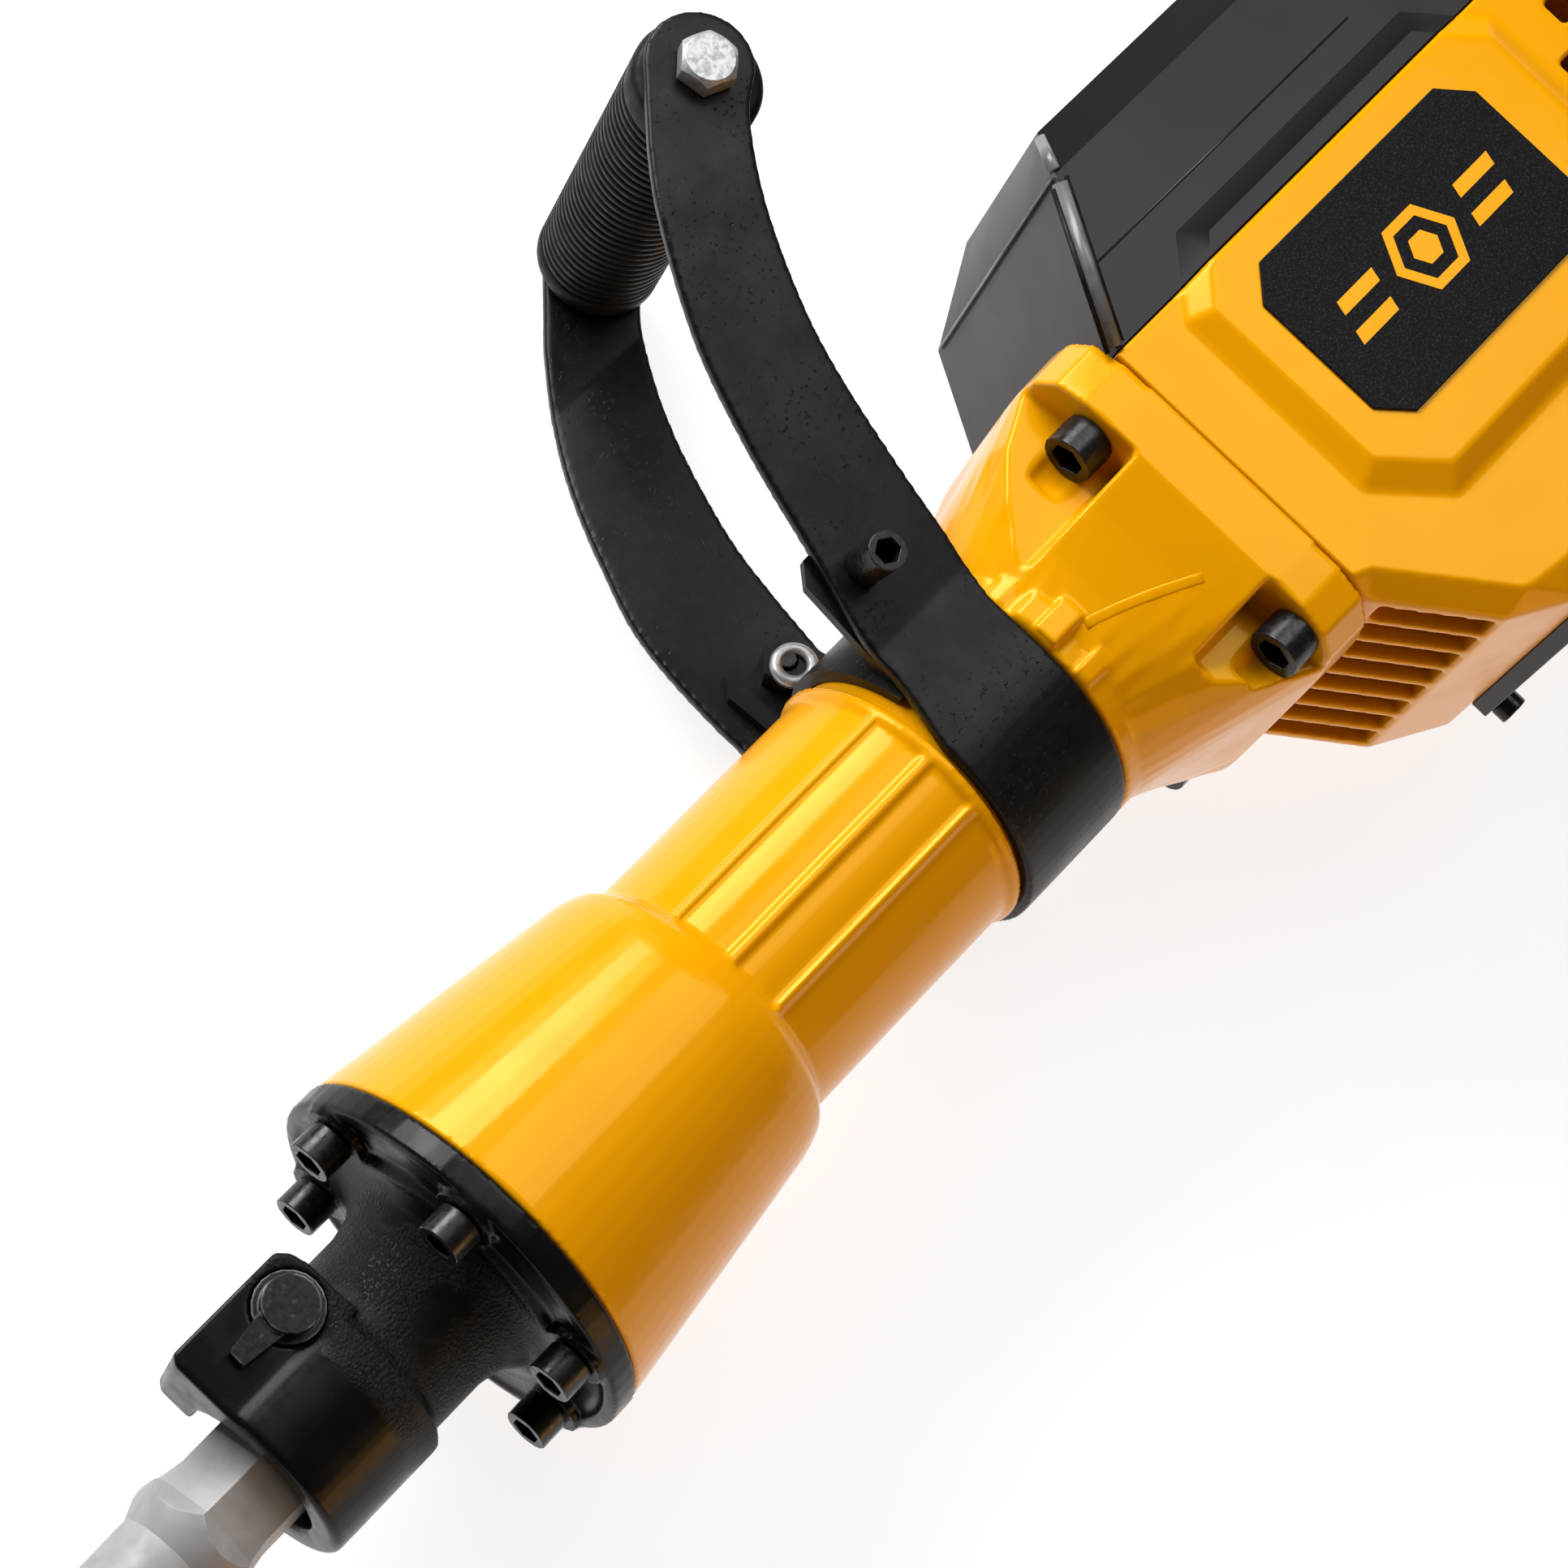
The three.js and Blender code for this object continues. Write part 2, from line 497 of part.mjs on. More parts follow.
// Involute spur gear about a Y axis, with one tooth centred at the given angle.
function gear({ teeth, module }, [y0, y1], [x, z], toothAngle) {
  const pressure = rad(20);
  const pitch = teeth * module / 2;
  const [base, root, tip] = [pitch * Math.cos(pressure), pitch - 1.15 * module, pitch + 0.8 * module];
  const involute = (angle) => Math.tan(angle) - angle;
  const halfAngle = (radius) => {
    const inside = radius <= base ? 0 : involute(Math.acos(base / radius));
    return Math.PI / (2 * teeth) - 0.14 / pitch + involute(pressure) - inside;
  };
  const flank = teeth > 30 ? [root, tip] : [root, (Math.max(base, root) + pitch) / 2, tip];
  const shape = new THREE.Shape();
  for (let i = 0; i < teeth; i++) {
    const middle = toothAngle + 2 * Math.PI * i / teeth;
    const rising = flank.map((r) => [r, -halfAngle(r)]);
    const falling = flank.map((r) => [r, halfAngle(r)]).reverse();
    const points = [...rising, ...falling];
    points.forEach(([r, a], k) => {
      const [px, pz] = [r * Math.cos(middle + a), r * Math.sin(middle + a)];
      if (i === 0 && k === 0) shape.moveTo(px, pz);
      else shape.lineTo(px, pz);
    });
  }
  return solid(crossPlate(shape, y0, y1).translate(x, 0, z));
}

const centreDistance = (a, b) => (a.teeth + b.teeth) * a.module / 2;

// The intermediate axis closes the triangle of the two centre distances.
function layAxis() {
  const a = centreDistance(FINAL_GEAR, LAY_PINION);
  const b = centreDistance(LAY_GEAR, MOTOR_PINION);
  const c = MOTOR_X - CRANK_X;
  const along = (a * a - b * b + c * c) / (2 * c);
  return [CRANK_X + along, -Math.sqrt(a * a - along * along)];
}

function gears() {
  const lay = layAxis();
  const toLay = Math.atan2(lay[1], lay[0] - CRANK_X);
  const toMotor = Math.atan2(-lay[1], MOTOR_X - lay[0]);
  const between = (g, angle) => angle + Math.PI + Math.PI / g.teeth;
  const finalGear = cut(
    gear(FINAL_GEAR, SECOND_STAGE_Y, [CRANK_X, 0], toLay),
    rod('y', 12.8, 30, 70, 20, [CRANK_X, 0]),
    ...[0, 1, 2, 3].map((i) => {
      const [dx, dz] = polar(25, 45 + 90 * i);
      return rod('y', 7, 30, 70, 10, [CRANK_X + dx, dz]);
    }),
  );
  const layShaft = join(
    rod('y', 7, 25, FIRST_STAGE_Y[1] + 11, 16, lay),
    gear(LAY_PINION, SECOND_STAGE_Y, lay, between(LAY_PINION, toLay)),
  );
  const layGear = cut(
    gear(LAY_GEAR, FIRST_STAGE_Y, lay, toMotor),
    rod('y', 7.3, 30, 90, 16, lay),
  );
  return [
    piece('final_gear', finalGear, GROUND_STEEL()),
    piece('intermediate_shaft', layShaft, GROUND_STEEL()),
    piece('intermediate_gear', layGear, GROUND_STEEL()),
  ];
}

function crankshaft() {
  const disc = cut(
    rod('y', 27, 12, 20.5, 28, [CRANK_X, 0]),
    ...bothSides(block([CRANK_X + 4, CRANK_X + 40], [10, 22], [11, 40])),
    rod('y', 6, 5, 17, 16, [CRANK_X + CRANK_RADIUS, 0]),
  );
  return piece('crankshaft', join(disc, rod('y', 12.4, 20, 57, 20, [CRANK_X, 0])), FORGED_STEEL());
}

// ---------------------------------------------------------------- motor

function armature() {
  const centre = [MOTOR_X, 0];
  const toLay = Math.atan2(layAxis()[1], layAxis()[0] - MOTOR_X);
  const shaft = join(
    rod('y', 6, -93, FIRST_STAGE_Y[0] - 1, 20, centre),
    gear(
      MOTOR_PINION, [FIRST_STAGE_Y[0] - 2, FIRST_STAGE_Y[1]], centre, toLay + Math.PI / MOTOR_PINION.teeth,
    ),
  );
  const slots = [...Array(12)].map((_, i) => {
    const [dx, dz] = polar(24, 30 * i);
    return rod('y', 2, -60, 10, 6, [MOTOR_X + dx, dz]);
  });
  const core = cut(tube('y', 6.3, 24, -46, 0, 24, centre), ...slots);
  const commutator = tube('y', 6.3, 17, -76, -58, 24, centre);
  const blades = [...Array(10)].map((_, i) => {
    const blade = new THREE.BoxGeometry(18, 10, 1.6);
    return solid(blade.translate(27, 13.5, 0).rotateY(rad(36 * i)).translate(MOTOR_X, 0, 0));
  });
  const fan = join(
    tube('y', 6.3, 38, 18, 20.5, 28, centre), tube('y', 6.3, 12, 9, 19, 16, centre), ...blades,
  );
  return [
    piece('armature_shaft', shaft, GROUND_STEEL()),
    piece('armature_core', core, FORGED_STEEL()),
    piece('commutator', commutator, COPPER()),
    piece('cooling_fan', fan, BLACK_PLASTIC()),
  ];
}

function stator() {
  const centre = [MOTOR_X, 0];
  const slots = [90, -90].map((angle) => {
    const [dx, dz] = polar(27, angle);
    return rod('y', 11, -60, 10, 12, [MOTOR_X + dx, dz]);
  });
  return piece('stator', cut(tube('y', 25.2, 44, -46, 0, 28, centre), ...slots), FORGED_STEEL());
}

const bearings = () => [
  piece('crank_bearing', tube('y', 12.7, 26, 23, 38, 24, [CRANK_X, 0]), GROUND_STEEL()),
  piece('armature_front_bearing', tube('y', 6.3, 17.5, 27, 38, 20, [MOTOR_X, 0]), GROUND_STEEL()),
  piece('armature_rear_bearing', tube('y', 6.3, 16, -91, -82, 20, [MOTOR_X, 0]), GROUND_STEEL()),
];

function brushes() {
  return [1, -1].flatMap((side) => {
    const name = side > 0 ? 'upper' : 'lower';
    const span = (a, b) => [Math.min(side * a, side * b), Math.max(side * a, side * b)];
    const carbon = block([MOTOR_X - 4, MOTOR_X + 4], [-73, -61], span(17.5, 40));
    const capProfile = rod('z', 8.5, ...span(54, 61.5), 16, [MOTOR_X, -67]);
    const slot = block([MOTOR_X - 6, MOTOR_X + 6], [-67.9, -66.1], span(60, 63));
    return [
      piece(`carbon_brush_${name}`, carbon, CARBON()),
      piece(`brush_cap_${name}`, cut(capProfile, slot), BLACK_PLASTIC()),
    ];
  });
}

// ---------------------------------------------------------------- crank case and covers

// Outline of the yellow casting, drawn in from its sides by an inset.
function caseOutline(inset) {
  const i = inset;
  return [
    [BODY_FRONT + i, BODY_SPLIT_Y - i], [BODY_FRONT + i, -51 + 0.6 * i], [294.5 + 1.1 * i, -54 + 0.6 * i],
    [318.5 + 0.8 * i, -83.5 + 0.9 * i], [342 + 0.3 * i, BODY_LOW_Y + i], [BODY_REAR - i, BODY_LOW_Y + i],
    [BODY_REAR - i, BODY_SPLIT_Y - i],
  ];
}

// Near the faces the casting draws in to a bevel, except along the seam and against the black housing.
function caseFaceOutline() {
  return [
    [BODY_FRONT, BODY_SPLIT_Y], [BODY_FRONT, -45.5], [298, -47.5], [326.5, -81.5], [345, -84],
    [BODY_REAR - 3, -84], [BODY_REAR - 3, BODY_SPLIT_Y],
  ];
}

// Octagonal raised panel over a range of y, common to the casting and the black housing.
function raisedPanel(side, yLow, yHigh) {
  const ring = (x0, x1, y0, y1, corner, z) => [
    [x0 + corner, y1], [x0, y1 - corner], [x0, y0 + corner], [x0 + corner, y0],
    [x1 - corner, y0], [x1, y0 + corner], [x1, y1 - corner], [x1 - corner, y1],
  ].map(([x, y]) => new THREE.Vector3(x, y, side * z));
  const whole = loft([
    ring(312, 453, -51, 54, 19, BODY_HALF_Z - 2),
    ring(313, 452, -51, 53, 19, BODY_HALF_Z),
    ring(320.5, 444.5, -44, 46.5, 16.5, BODY_HALF_Z + RAISED),
  ]);
  return whole.intersect(block([300, 470], [yLow, yHigh], [-80, 80]));
}

function ventSlots() {
  const [count, pitch, height] = [8, 12.9, 9.6];
  const [start, end] = [new THREE.Vector2(296.5, -56.5), new THREE.Vector2(317.5, -82.3)];
  const length = start.distanceTo(end);
  const slant = Math.atan2(end.y - start.y, end.x - start.x);
  return [...Array(count)].map((_, i) => {
    const slot = new THREE.BoxGeometry(length, 16, height);
    const z = (i - (count - 1) / 2) * pitch;
    return solid(slot.rotateZ(slant).translate((start.x + end.x) / 2, (start.y + end.y) / 2, z));
  });
}

function crankCase() {
  const level = (outline, z) => outline.map(([x, y]) => new THREE.Vector3(x, y, z));
  const shoulder = BODY_HALF_Z - BEVEL_HEIGHT;
  const outer = loft([
    level(caseFaceOutline(), -BODY_HALF_Z), level(caseOutline(0), -shoulder),
    level(caseOutline(0), shoulder), level(caseFaceOutline(), BODY_HALF_Z),
  ]);
  const hollow = solid(plate(polygon(caseOutline(WALL)), -shoulder - 0.5, shoulder + 0.5));
  const innerWall = block([BODY_FRONT + 2, BODY_REAR - 2], [33, BODY_SPLIT_Y - 1], [-shoulder, shoulder]);
  const seats = [
    rod('y', 31, 23, 38, 24, [CRANK_X, 0]), rod('y', 22, 26, 38, 20, [MOTOR_X, 0]),
    rod('y', 12, 26, 38, 16, layAxis()),
  ];
  const motorTube = cut(
    join(
      rod('y', 47.5, -50, 6, 28, [MOTOR_X, 0]),
      block([MOTOR_X - 5, MOTOR_X + 5], [-50, 6], [-56, 56]),
      block([MOTOR_X, BODY_REAR - 2], [-50, 6], [-5, 5]),
      ...bothSides(block([MOTOR_X - 5, MOTOR_X + 5], [-80, -50], [30, 56])),
    ),
    rod('y', 44.6, -90, 20, 28, [MOTOR_X, 0]),
  );
  const bosses = caseBoltPlaces().map((centre) => rod('x', 8.5, BODY_FRONT + 1, SEAM_X + 18, 10, centre));
  const panels = [1, -1].map((side) => raisedPanel(side, -60, BODY_SPLIT_Y));
  const openings = [
    rod('x', 32, BODY_FRONT - 5, BODY_FRONT + 8, 24),
    rod('y', 26.4, 20, 50, 24, [CRANK_X, 0]), rod('y', 17.9, 20, 50, 20, [MOTOR_X, 0]),
    rod('y', 7.4, 20, 50, 12, layAxis()),
    rod('y', 34, BODY_LOW_Y - 5, BODY_LOW_Y + 10, 24, [MOTOR_X, 0]),
    ...endScrewPlaces().map((centre) => rod('y', 2.7, BODY_LOW_Y - 5, BODY_LOW_Y + 10, 8, centre)),
    ...bothSides(rod('z', 8.8, 50, 70, 16, [MOTOR_X, -67])),
    ...caseBoltPlaces().map((centre) => rod('x', 5.2, BODY_FRONT - 2, SEAM_X + 16, 8, centre)),
    ...ventSlots(),
    ...[[468, 22], [457, 7], [457, -8], [457, -23]].map(([x, y]) => (
      block([x, 478], [y - 4.2, y + 4.2], [-BODY_HALF_Z - 1, BODY_HALF_Z + 1])
    )),
  ];
  const shell = cut(outer, hollow);
  const body = cut(join(shell, innerWall, ...seats, motorTube, ...bosses, ...panels), ...openings);
  return piece('crank_case', body, YELLOW_ENAMEL());
}

function badge() {
  const [x0, x1, y0, y1, corner] = [331, 427.5, -27.5, 31, 9];
  const shape = polygon([
    [x0 + corner, y1], [x0, y1 - corner], [x0, y0 + corner], [x0 + corner, y0],
    [x1 - corner, y0], [x1, y0 + corner], [x1, y1 - corner], [x1 - corner, y1],
  ]);
  const low = BODY_HALF_Z + RAISED + 0.05;
  return piece('badge_plate', solid(plate(shape, low, low + 0.9)), BADGE_BLACK());
}

// Black housing over the gears: its front slants back and its outer edge is chamfered.
function gearHousing() {
  const section = (inset) => (y, front, half) => {
    const [x0, x1, h, c] = [front + inset, BODY_REAR - inset, half - inset, 8];
    return [
      [x0, h], [x0, -h], [x1 - c, -h], [x1, -h + c], [x1, h - c], [x1 - c, h],
    ].map(([x, z]) => new THREE.Vector3(x, y, z));
  };
  const [skin, core] = [section(0), section(3.5)];
  const y0 = BODY_SPLIT_Y + GAP;
  const outer = loft([
    skin(y0, 293, BODY_HALF_Z), skin(HOUSING_EDGE_Y, 320, BODY_HALF_Z),
    skin(HOUSING_TOP_Y, 339.5, HOUSING_TOP_HALF_Z),
  ]);
  const inner = loft([
    core(y0 - 2, 292, BODY_HALF_Z), core(HOUSING_EDGE_Y - 2, 320, BODY_HALF_Z),
    core(HOUSING_TOP_Y - 3.5, 338.5, HOUSING_TOP_HALF_Z),
  ]);
  const lay = layAxis();
  const boss = cut(rod('y', 11.5, 76, HOUSING_TOP_Y - 2, 14, lay), rod('y', 7.4, 70, 86, 14, lay));
  const panels = [1, -1].map((side) => raisedPanel(side, y0, 60));
  return piece('gear_housing', join(cut(join(outer, ...panels), inner), boss), BLACK_PLASTIC());
}

function endCover() {
  const top = BODY_LOW_Y - GAP;
  const corner = 10;
  const [x0, x1, z] = [345, 481, 50];
  const outline = polygon([
    [x0, -z + corner], [x0 + corner, -z], [x1 - corner, -z], [x1, -z + corner],
    [x1, z - corner], [x1 - corner, z], [x0 + corner, z], [x0, z - corner],
  ]);
  const lid = solid(crossPlate(outline, top - 5.5, top));
  const seat = tube('y', 16.3, 20, top - 1, -83, 24, [MOTOR_X, 0]);
  const holes = endScrewPlaces().map((centre) => rod('y', 2.8, top - 10, top + 5, 8, centre));
  return piece('end_cover', cut(join(lid, seat), ...holes), BLACK_PLASTIC());
}

const endScrewPlaces = () => [[353, 40], [353, -40], [473, 40], [473, -40]];

function endScrews() {
  const top = BODY_LOW_Y - GAP - 5.5;
  return endScrewPlaces().map((centre, i) => socketScrew(
    `end_cover_screw_${i + 1}`, 'y', centre,
    { headTop: top - 5.3, seat: top - GAP, tip: BODY_LOW_Y + 9, headRadius: 4.6, shankRadius: 2.4 },
  ));
}

// ---------------------------------------------------------------- front handle

// Outline of one strap arm: front edge out to the round tip, and the rear edge back.
function armOutline({ front, tip, rear }) {
  const points = (list) => list.map(([x, y]) => new THREE.Vector2(x, y));
  const shape = new THREE.Shape();
  shape.moveTo(...front[0]);
  shape.splineThru(points(front.slice(1)));
  shape.absarc(...tip, TIP_RADIUS, rad(134), rad(-50), true);
  shape.splineThru(points(rear.slice(0, -2)));
  rear.slice(-2).forEach(([x, y]) => shape.lineTo(x, y));
  return shape;
}

// Moves the part of a solid that lies beyond the first bend outward, up to the second bend.
const leanOut = (body) => body.warp((vertex) => {
  vertex[2] += ARM_LEAN * (THREE.MathUtils.clamp(vertex[1], ARM_BEND_Y, ARM_LEVEL_Y) - ARM_BEND_Y);
});

// The arm is flat up to the first bend, leans out to the second, and is flat again around the grip's end.
function strapArm(edges) {
  const flat = solid(plate(armOutline(edges), STRAP_INNER, STRAP_INNER + STRAP_THICKNESS, 0, 6));
  const bands = [[-5, ARM_BEND_Y], [ARM_BEND_Y, ARM_LEVEL_Y], [ARM_LEVEL_Y, 220]];
  return join(...bands.map((y) => leanOut(flat.intersect(block([150, 320], y, [0, 100])))));
}

// Places a solid made about +Z on the upper arm's outer face, square to the arm.
const onArm = (body) => body
  .rotate([THREE.MathUtils.radToDeg(Math.atan(ARM_LEAN)), 0, 0])
  .translate([
    CLAMP_SCREW[0], CLAMP_SCREW[1], STRAP_INNER + STRAP_THICKNESS + ARM_LEAN * (CLAMP_SCREW[1] - ARM_BEND_Y),
  ]);

// Places a solid made about +Z on the grip's own axis.
const onGrip = (body) => body.rotate([...GRIP_TILT, 0]).translate([...GRIP_MIDDLE, 0]);

function handleBracket() {
  const ring = tube('x', STRAP_INNER, STRAP_INNER + STRAP_THICKNESS, CLAMP_FRONT, CLAMP_REAR, 72);
  const half = ring.intersect(block([150, 250], [-60, 0], [-60, 60]));
  const body = cut(
    join(half, strapArm(UPPER_ARM), strapArm(LOWER_ARM).mirror([0, 0, 1])),
    ...bothSides(onArm(rod('z', 3.4, -10, 10, 12))), onGrip(rod('z', 5.3, -100, 100, 16)),
  );
  return piece('handle_bracket', body, BLACK_ENAMEL());
}

// Bent plate that closes the clamp over the barrel, with a weld nut inside each of its tabs.
function saddle() {
  const arch = tube('x', LAND_RADIUS + 0.4, LAND_RADIUS + 0.4 + SADDLE_THICKNESS, 185, 221, 72);
  const [plateIn, plateOut] = [STRAP_INNER - GAP - SADDLE_THICKNESS, STRAP_INNER - GAP];
  const bands = [[10, ARM_BEND_Y], [ARM_BEND_Y, 80]];
  const tabFrom = (x0, x1) => {
    const outline = polygon([[x0, 16], [x0, 56], [x0 + 4.5, 61.5], [x1 - 6, 61.5], [x1, 54], [x1, 16]]);
    const flat = solid(plate(outline, plateIn, plateOut));
    return join(...bands.map((y) => leanOut(flat.intersect(block([150, 250], y, [0, 80])))));
  };
  const tabs = [tabFrom(187.5, 221), tabFrom(185.5, 214).mirror([0, 0, 1])];
  const nutTop = -STRAP_THICKNESS - GAP - SADDLE_THICKNESS;
  const nut = onArm(hexagon('z', 13, nutTop - 7.5, nutTop + 0.2, 15));
  const body = cut(
    join(arch.intersect(block([150, 250], [18, 60], [-plateOut, plateOut])), ...tabs, ...bothSides(nut)),
    rod('x', LAND_RADIUS + 0.4, 150, 250, 72), ...bothSides(onArm(rod('z', 3.4, -30, 10, 12))),
  );
  return piece('handle_saddle', body, BLACK_ENAMEL());
}

function clampScrews() {
  const screw = join(
    rod('z', CLAMP_HEAD_RADIUS, GAP, CLAMP_HEAD_HEIGHT, 20), rod('z', 2.9, -17, GAP + 1, 10),
  );
  const socket = hexagon('z', CLAMP_HEAD_RADIUS * 1.15, CLAMP_HEAD_HEIGHT - 8, CLAMP_HEAD_HEIGHT + 5);
  const screws = bothSides(onArm(cut(screw, socket)));
  return screws.map((body, i) => piece(`clamp_screw_${i + 1}`, body, BLACK_OXIDE()));
}

function frontGrip() {
  const end = ARM_LEVEL_INNER - 0.8;
  const outer = ARM_LEVEL_INNER + STRAP_THICKNESS + 0.6;
  const sleeve = turned('z', [
    [-end, 5.4], [-end, GRIP_RADIUS - 1], [-end + 1, GRIP_RADIUS],
    [end - 1, GRIP_RADIUS], [end, GRIP_RADIUS - 1], [end, 5.4], [-end, 5.4],
  ], 28);
  const head = turned('z', [
    [outer, 0], [outer, 8.7], [outer + 5, 8.7], [outer + 6.6, 6.9], [outer + 6.6, 0],
  ]);
  const bolt = join(
    head.intersect(hexagon('z', 15.2, outer - 1, outer + 9, 10)), rod('z', 4.9, -outer - 11, outer + 1, 16),
  );
  const nut = cut(hexagon('z', 16, -outer - 8, -outer, 10), rod('z', 5.2, -100, 0, 16));
  return [
    piece('front_grip', onGrip(sleeve), BLACK_RUBBER()), piece('grip_bolt', onGrip(bolt), ZINC()),
    piece('grip_nut', onGrip(nut), ZINC()),
  ];
}

// ---------------------------------------------------------------- rear handle

function handleLoop() {
  const shape = new THREE.Shape();
  shape.moveTo(HANDLE_FRONT, HANDLE_LOW_Y);
  shape.lineTo(545, HANDLE_LOW_Y);
  shape.quadraticCurveTo(HANDLE_REAR - 40, HANDLE_LOW_Y, HANDLE_REAR - 12, -70);
  shape.quadraticCurveTo(HANDLE_REAR, -60, HANDLE_REAR, -45);
  shape.lineTo(HANDLE_REAR, 52);
  shape.quadraticCurveTo(HANDLE_REAR, 67, HANDLE_REAR - 12, 77);
  shape.quadraticCurveTo(HANDLE_REAR - 40, HANDLE_HIGH_Y, 545, HANDLE_HIGH_Y);
  shape.lineTo(HANDLE_FRONT, HANDLE_HIGH_Y);
  return shape;
}

function fingerWindow() {
  const window = new THREE.Shape();
  window.moveTo(514, -48);
  window.quadraticCurveTo(514, -58, 524, -58);
  window.lineTo(600, -56);
  window.quadraticCurveTo(627, -52, 627, -30);
  window.lineTo(627, 37);
  window.quadraticCurveTo(627, 59, 600, 63);
  window.lineTo(524, 65);
  window.quadraticCurveTo(514, 65, 514, 55);
  return window;
}

function rearHandle() {
  const loop = solid(plate(handleLoop(), -HANDLE_HALF_Z, HANDLE_HALF_Z, 7, 4));
  const baseShape = polygon([
    [HANDLE_FRONT - 12, HANDLE_LOW_Y + 3], [514, HANDLE_LOW_Y + 3],
    [514, HANDLE_HIGH_Y - 3], [HANDLE_FRONT - 12, HANDLE_HIGH_Y - 3],
  ]);
  const base = solid(plate(baseShape, -HANDLE_BASE_HALF_Z, HANDLE_BASE_HALF_Z, 6, 4));
  const whole = cut(
    join(loop, base),
    solid(plate(fingerWindow(), -60, 60, 0, 6)),
    block([HANDLE_FRONT + 5, 506], [-76, 83], [-32, 32]),
    block([HANDLE_FRONT - 5, 500], [-60, 66], [-26, 26]),
    block([617, 656], [-27.5, 36.5], [-10.5, 10.5]),
    block([633, 656], [-48, 50], [-15, 15]),
    block([520, 630], [-76, -72], [-4, 4]),
    rod('y', 9.8, HANDLE_LOW_Y - 5, -76, 20, [560, 0]),
    rod('z', 6.4, 0, 40, 20, [645, -36]),
    block([HANDLE_FRONT - 20, HANDLE_FRONT], [-200, 200], [-100, 100]),
  );
  const half = (z) => whole.intersect(block([400, 800], [-200, 200], z));
  return [
    piece('handle_upper_half', half([0.15, 100]), BLACK_PLASTIC()),
    piece('handle_lower_half', half([-100, -0.15]), BLACK_PLASTIC()),
  ];
}

function handleControls() {
  const triggerRear = SWITCH_FRONT - TRIGGER_TRAVEL - 3;
  const triggerShape = new THREE.Shape();
  triggerShape.moveTo(618, -26);
  triggerShape.quadraticCurveTo(612, 4, 618, 35);
  triggerShape.lineTo(triggerRear, 35);
  triggerShape.lineTo(triggerRear, -26);
  const trigger = solid(plate(triggerShape, -9.5, 9.5, 2, 6));
  const switchBox = block([SWITCH_FRONT, 655], [-24, 46], [-13, 13]);
  const button = turned('z', [[15.5, 0], [15.5, 5.9], [24, 5.9], [25, 5], [25, 0]], 20, [645, -36]);
  const inlet = turned('y', [
    [-100, 4.6], [-100, 8], [HANDLE_LOW_Y - 1, 9], [-77, 9.3], [-77, 4.6], [-100, 4.6],
  ], 20, [560, 0]);
  return [
    piece('trigger', trigger, BLACK_PLASTIC()), piece('trigger_switch', switchBox, BLACK_PLASTIC()),
    piece('lock_button', button, finish(0xc0301c, 0.4, 0)), piece('cord_inlet', inlet, BLACK_RUBBER()),
  ];
}

// ---------------------------------------------------------------- assembly

const barrelAxis = new THREE.Group();
barrelAxis.add(
  chisel(), frontCover(), ...coverBolts(), retainerPin(), cylinderCase(), ...caseBolts(),
  liner(), anvilHolder(), damper(), anvil(), striker(), piston(), wristPin(), conrod(), crankPin(),
  ...gears(), crankshaft(), ...armature(), stator(), ...bearings(), ...brushes(),
  crankCase(), badge(), gearHousing(), endCover(), ...endScrews(),
  handleBracket(), saddle(), ...clampScrews(), ...frontGrip(), ...rearHandle(), ...handleControls(),
);

const box = new THREE.Box3().setFromObject(barrelAxis);
barrelAxis.position.set(-(box.min.x + box.max.x) / 2, -(box.min.y + box.max.y) / 2, -box.min.z);

const hammer = new THREE.Group();
hammer.name = 'demolition_hammer';
hammer.add(barrelAxis);

export default hammer;
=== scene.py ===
"""Looks of the demolition hammer: materials, small cast and moulded detail, light and camera.

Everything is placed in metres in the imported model's own frame. Helper lengths are millimetres about the
barrel's axis, as in the CAD source: x from the front face of the nose flange, y to the front handle, z up.
"""
import json
import math

import bmesh
import bpy
from mathutils import Matrix, Vector
from mathutils.bvhtree import BVHTree


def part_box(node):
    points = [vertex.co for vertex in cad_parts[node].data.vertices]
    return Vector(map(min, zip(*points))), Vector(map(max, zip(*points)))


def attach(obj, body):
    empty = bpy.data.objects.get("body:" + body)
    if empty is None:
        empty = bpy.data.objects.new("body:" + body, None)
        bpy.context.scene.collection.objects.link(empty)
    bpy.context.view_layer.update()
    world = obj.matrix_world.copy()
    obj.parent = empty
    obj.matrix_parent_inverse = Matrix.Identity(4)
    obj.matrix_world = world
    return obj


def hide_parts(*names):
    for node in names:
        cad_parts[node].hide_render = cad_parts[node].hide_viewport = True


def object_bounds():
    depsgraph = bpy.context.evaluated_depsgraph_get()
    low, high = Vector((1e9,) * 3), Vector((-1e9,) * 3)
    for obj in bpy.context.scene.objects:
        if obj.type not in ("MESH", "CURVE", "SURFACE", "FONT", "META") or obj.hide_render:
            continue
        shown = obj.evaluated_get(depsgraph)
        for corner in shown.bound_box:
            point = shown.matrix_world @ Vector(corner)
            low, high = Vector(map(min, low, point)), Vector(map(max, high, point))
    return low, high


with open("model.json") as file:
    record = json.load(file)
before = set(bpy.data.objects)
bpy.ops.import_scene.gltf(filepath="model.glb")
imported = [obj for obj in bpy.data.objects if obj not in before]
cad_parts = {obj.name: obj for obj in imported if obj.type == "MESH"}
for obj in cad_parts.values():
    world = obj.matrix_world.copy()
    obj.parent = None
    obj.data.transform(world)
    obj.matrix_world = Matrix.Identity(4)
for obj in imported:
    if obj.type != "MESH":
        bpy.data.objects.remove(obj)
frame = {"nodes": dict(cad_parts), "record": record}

MM = 0.001
CAD_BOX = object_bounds()
NODES = frame["nodes"]

# ------------------------------------------------------------------ the barrel's own frame

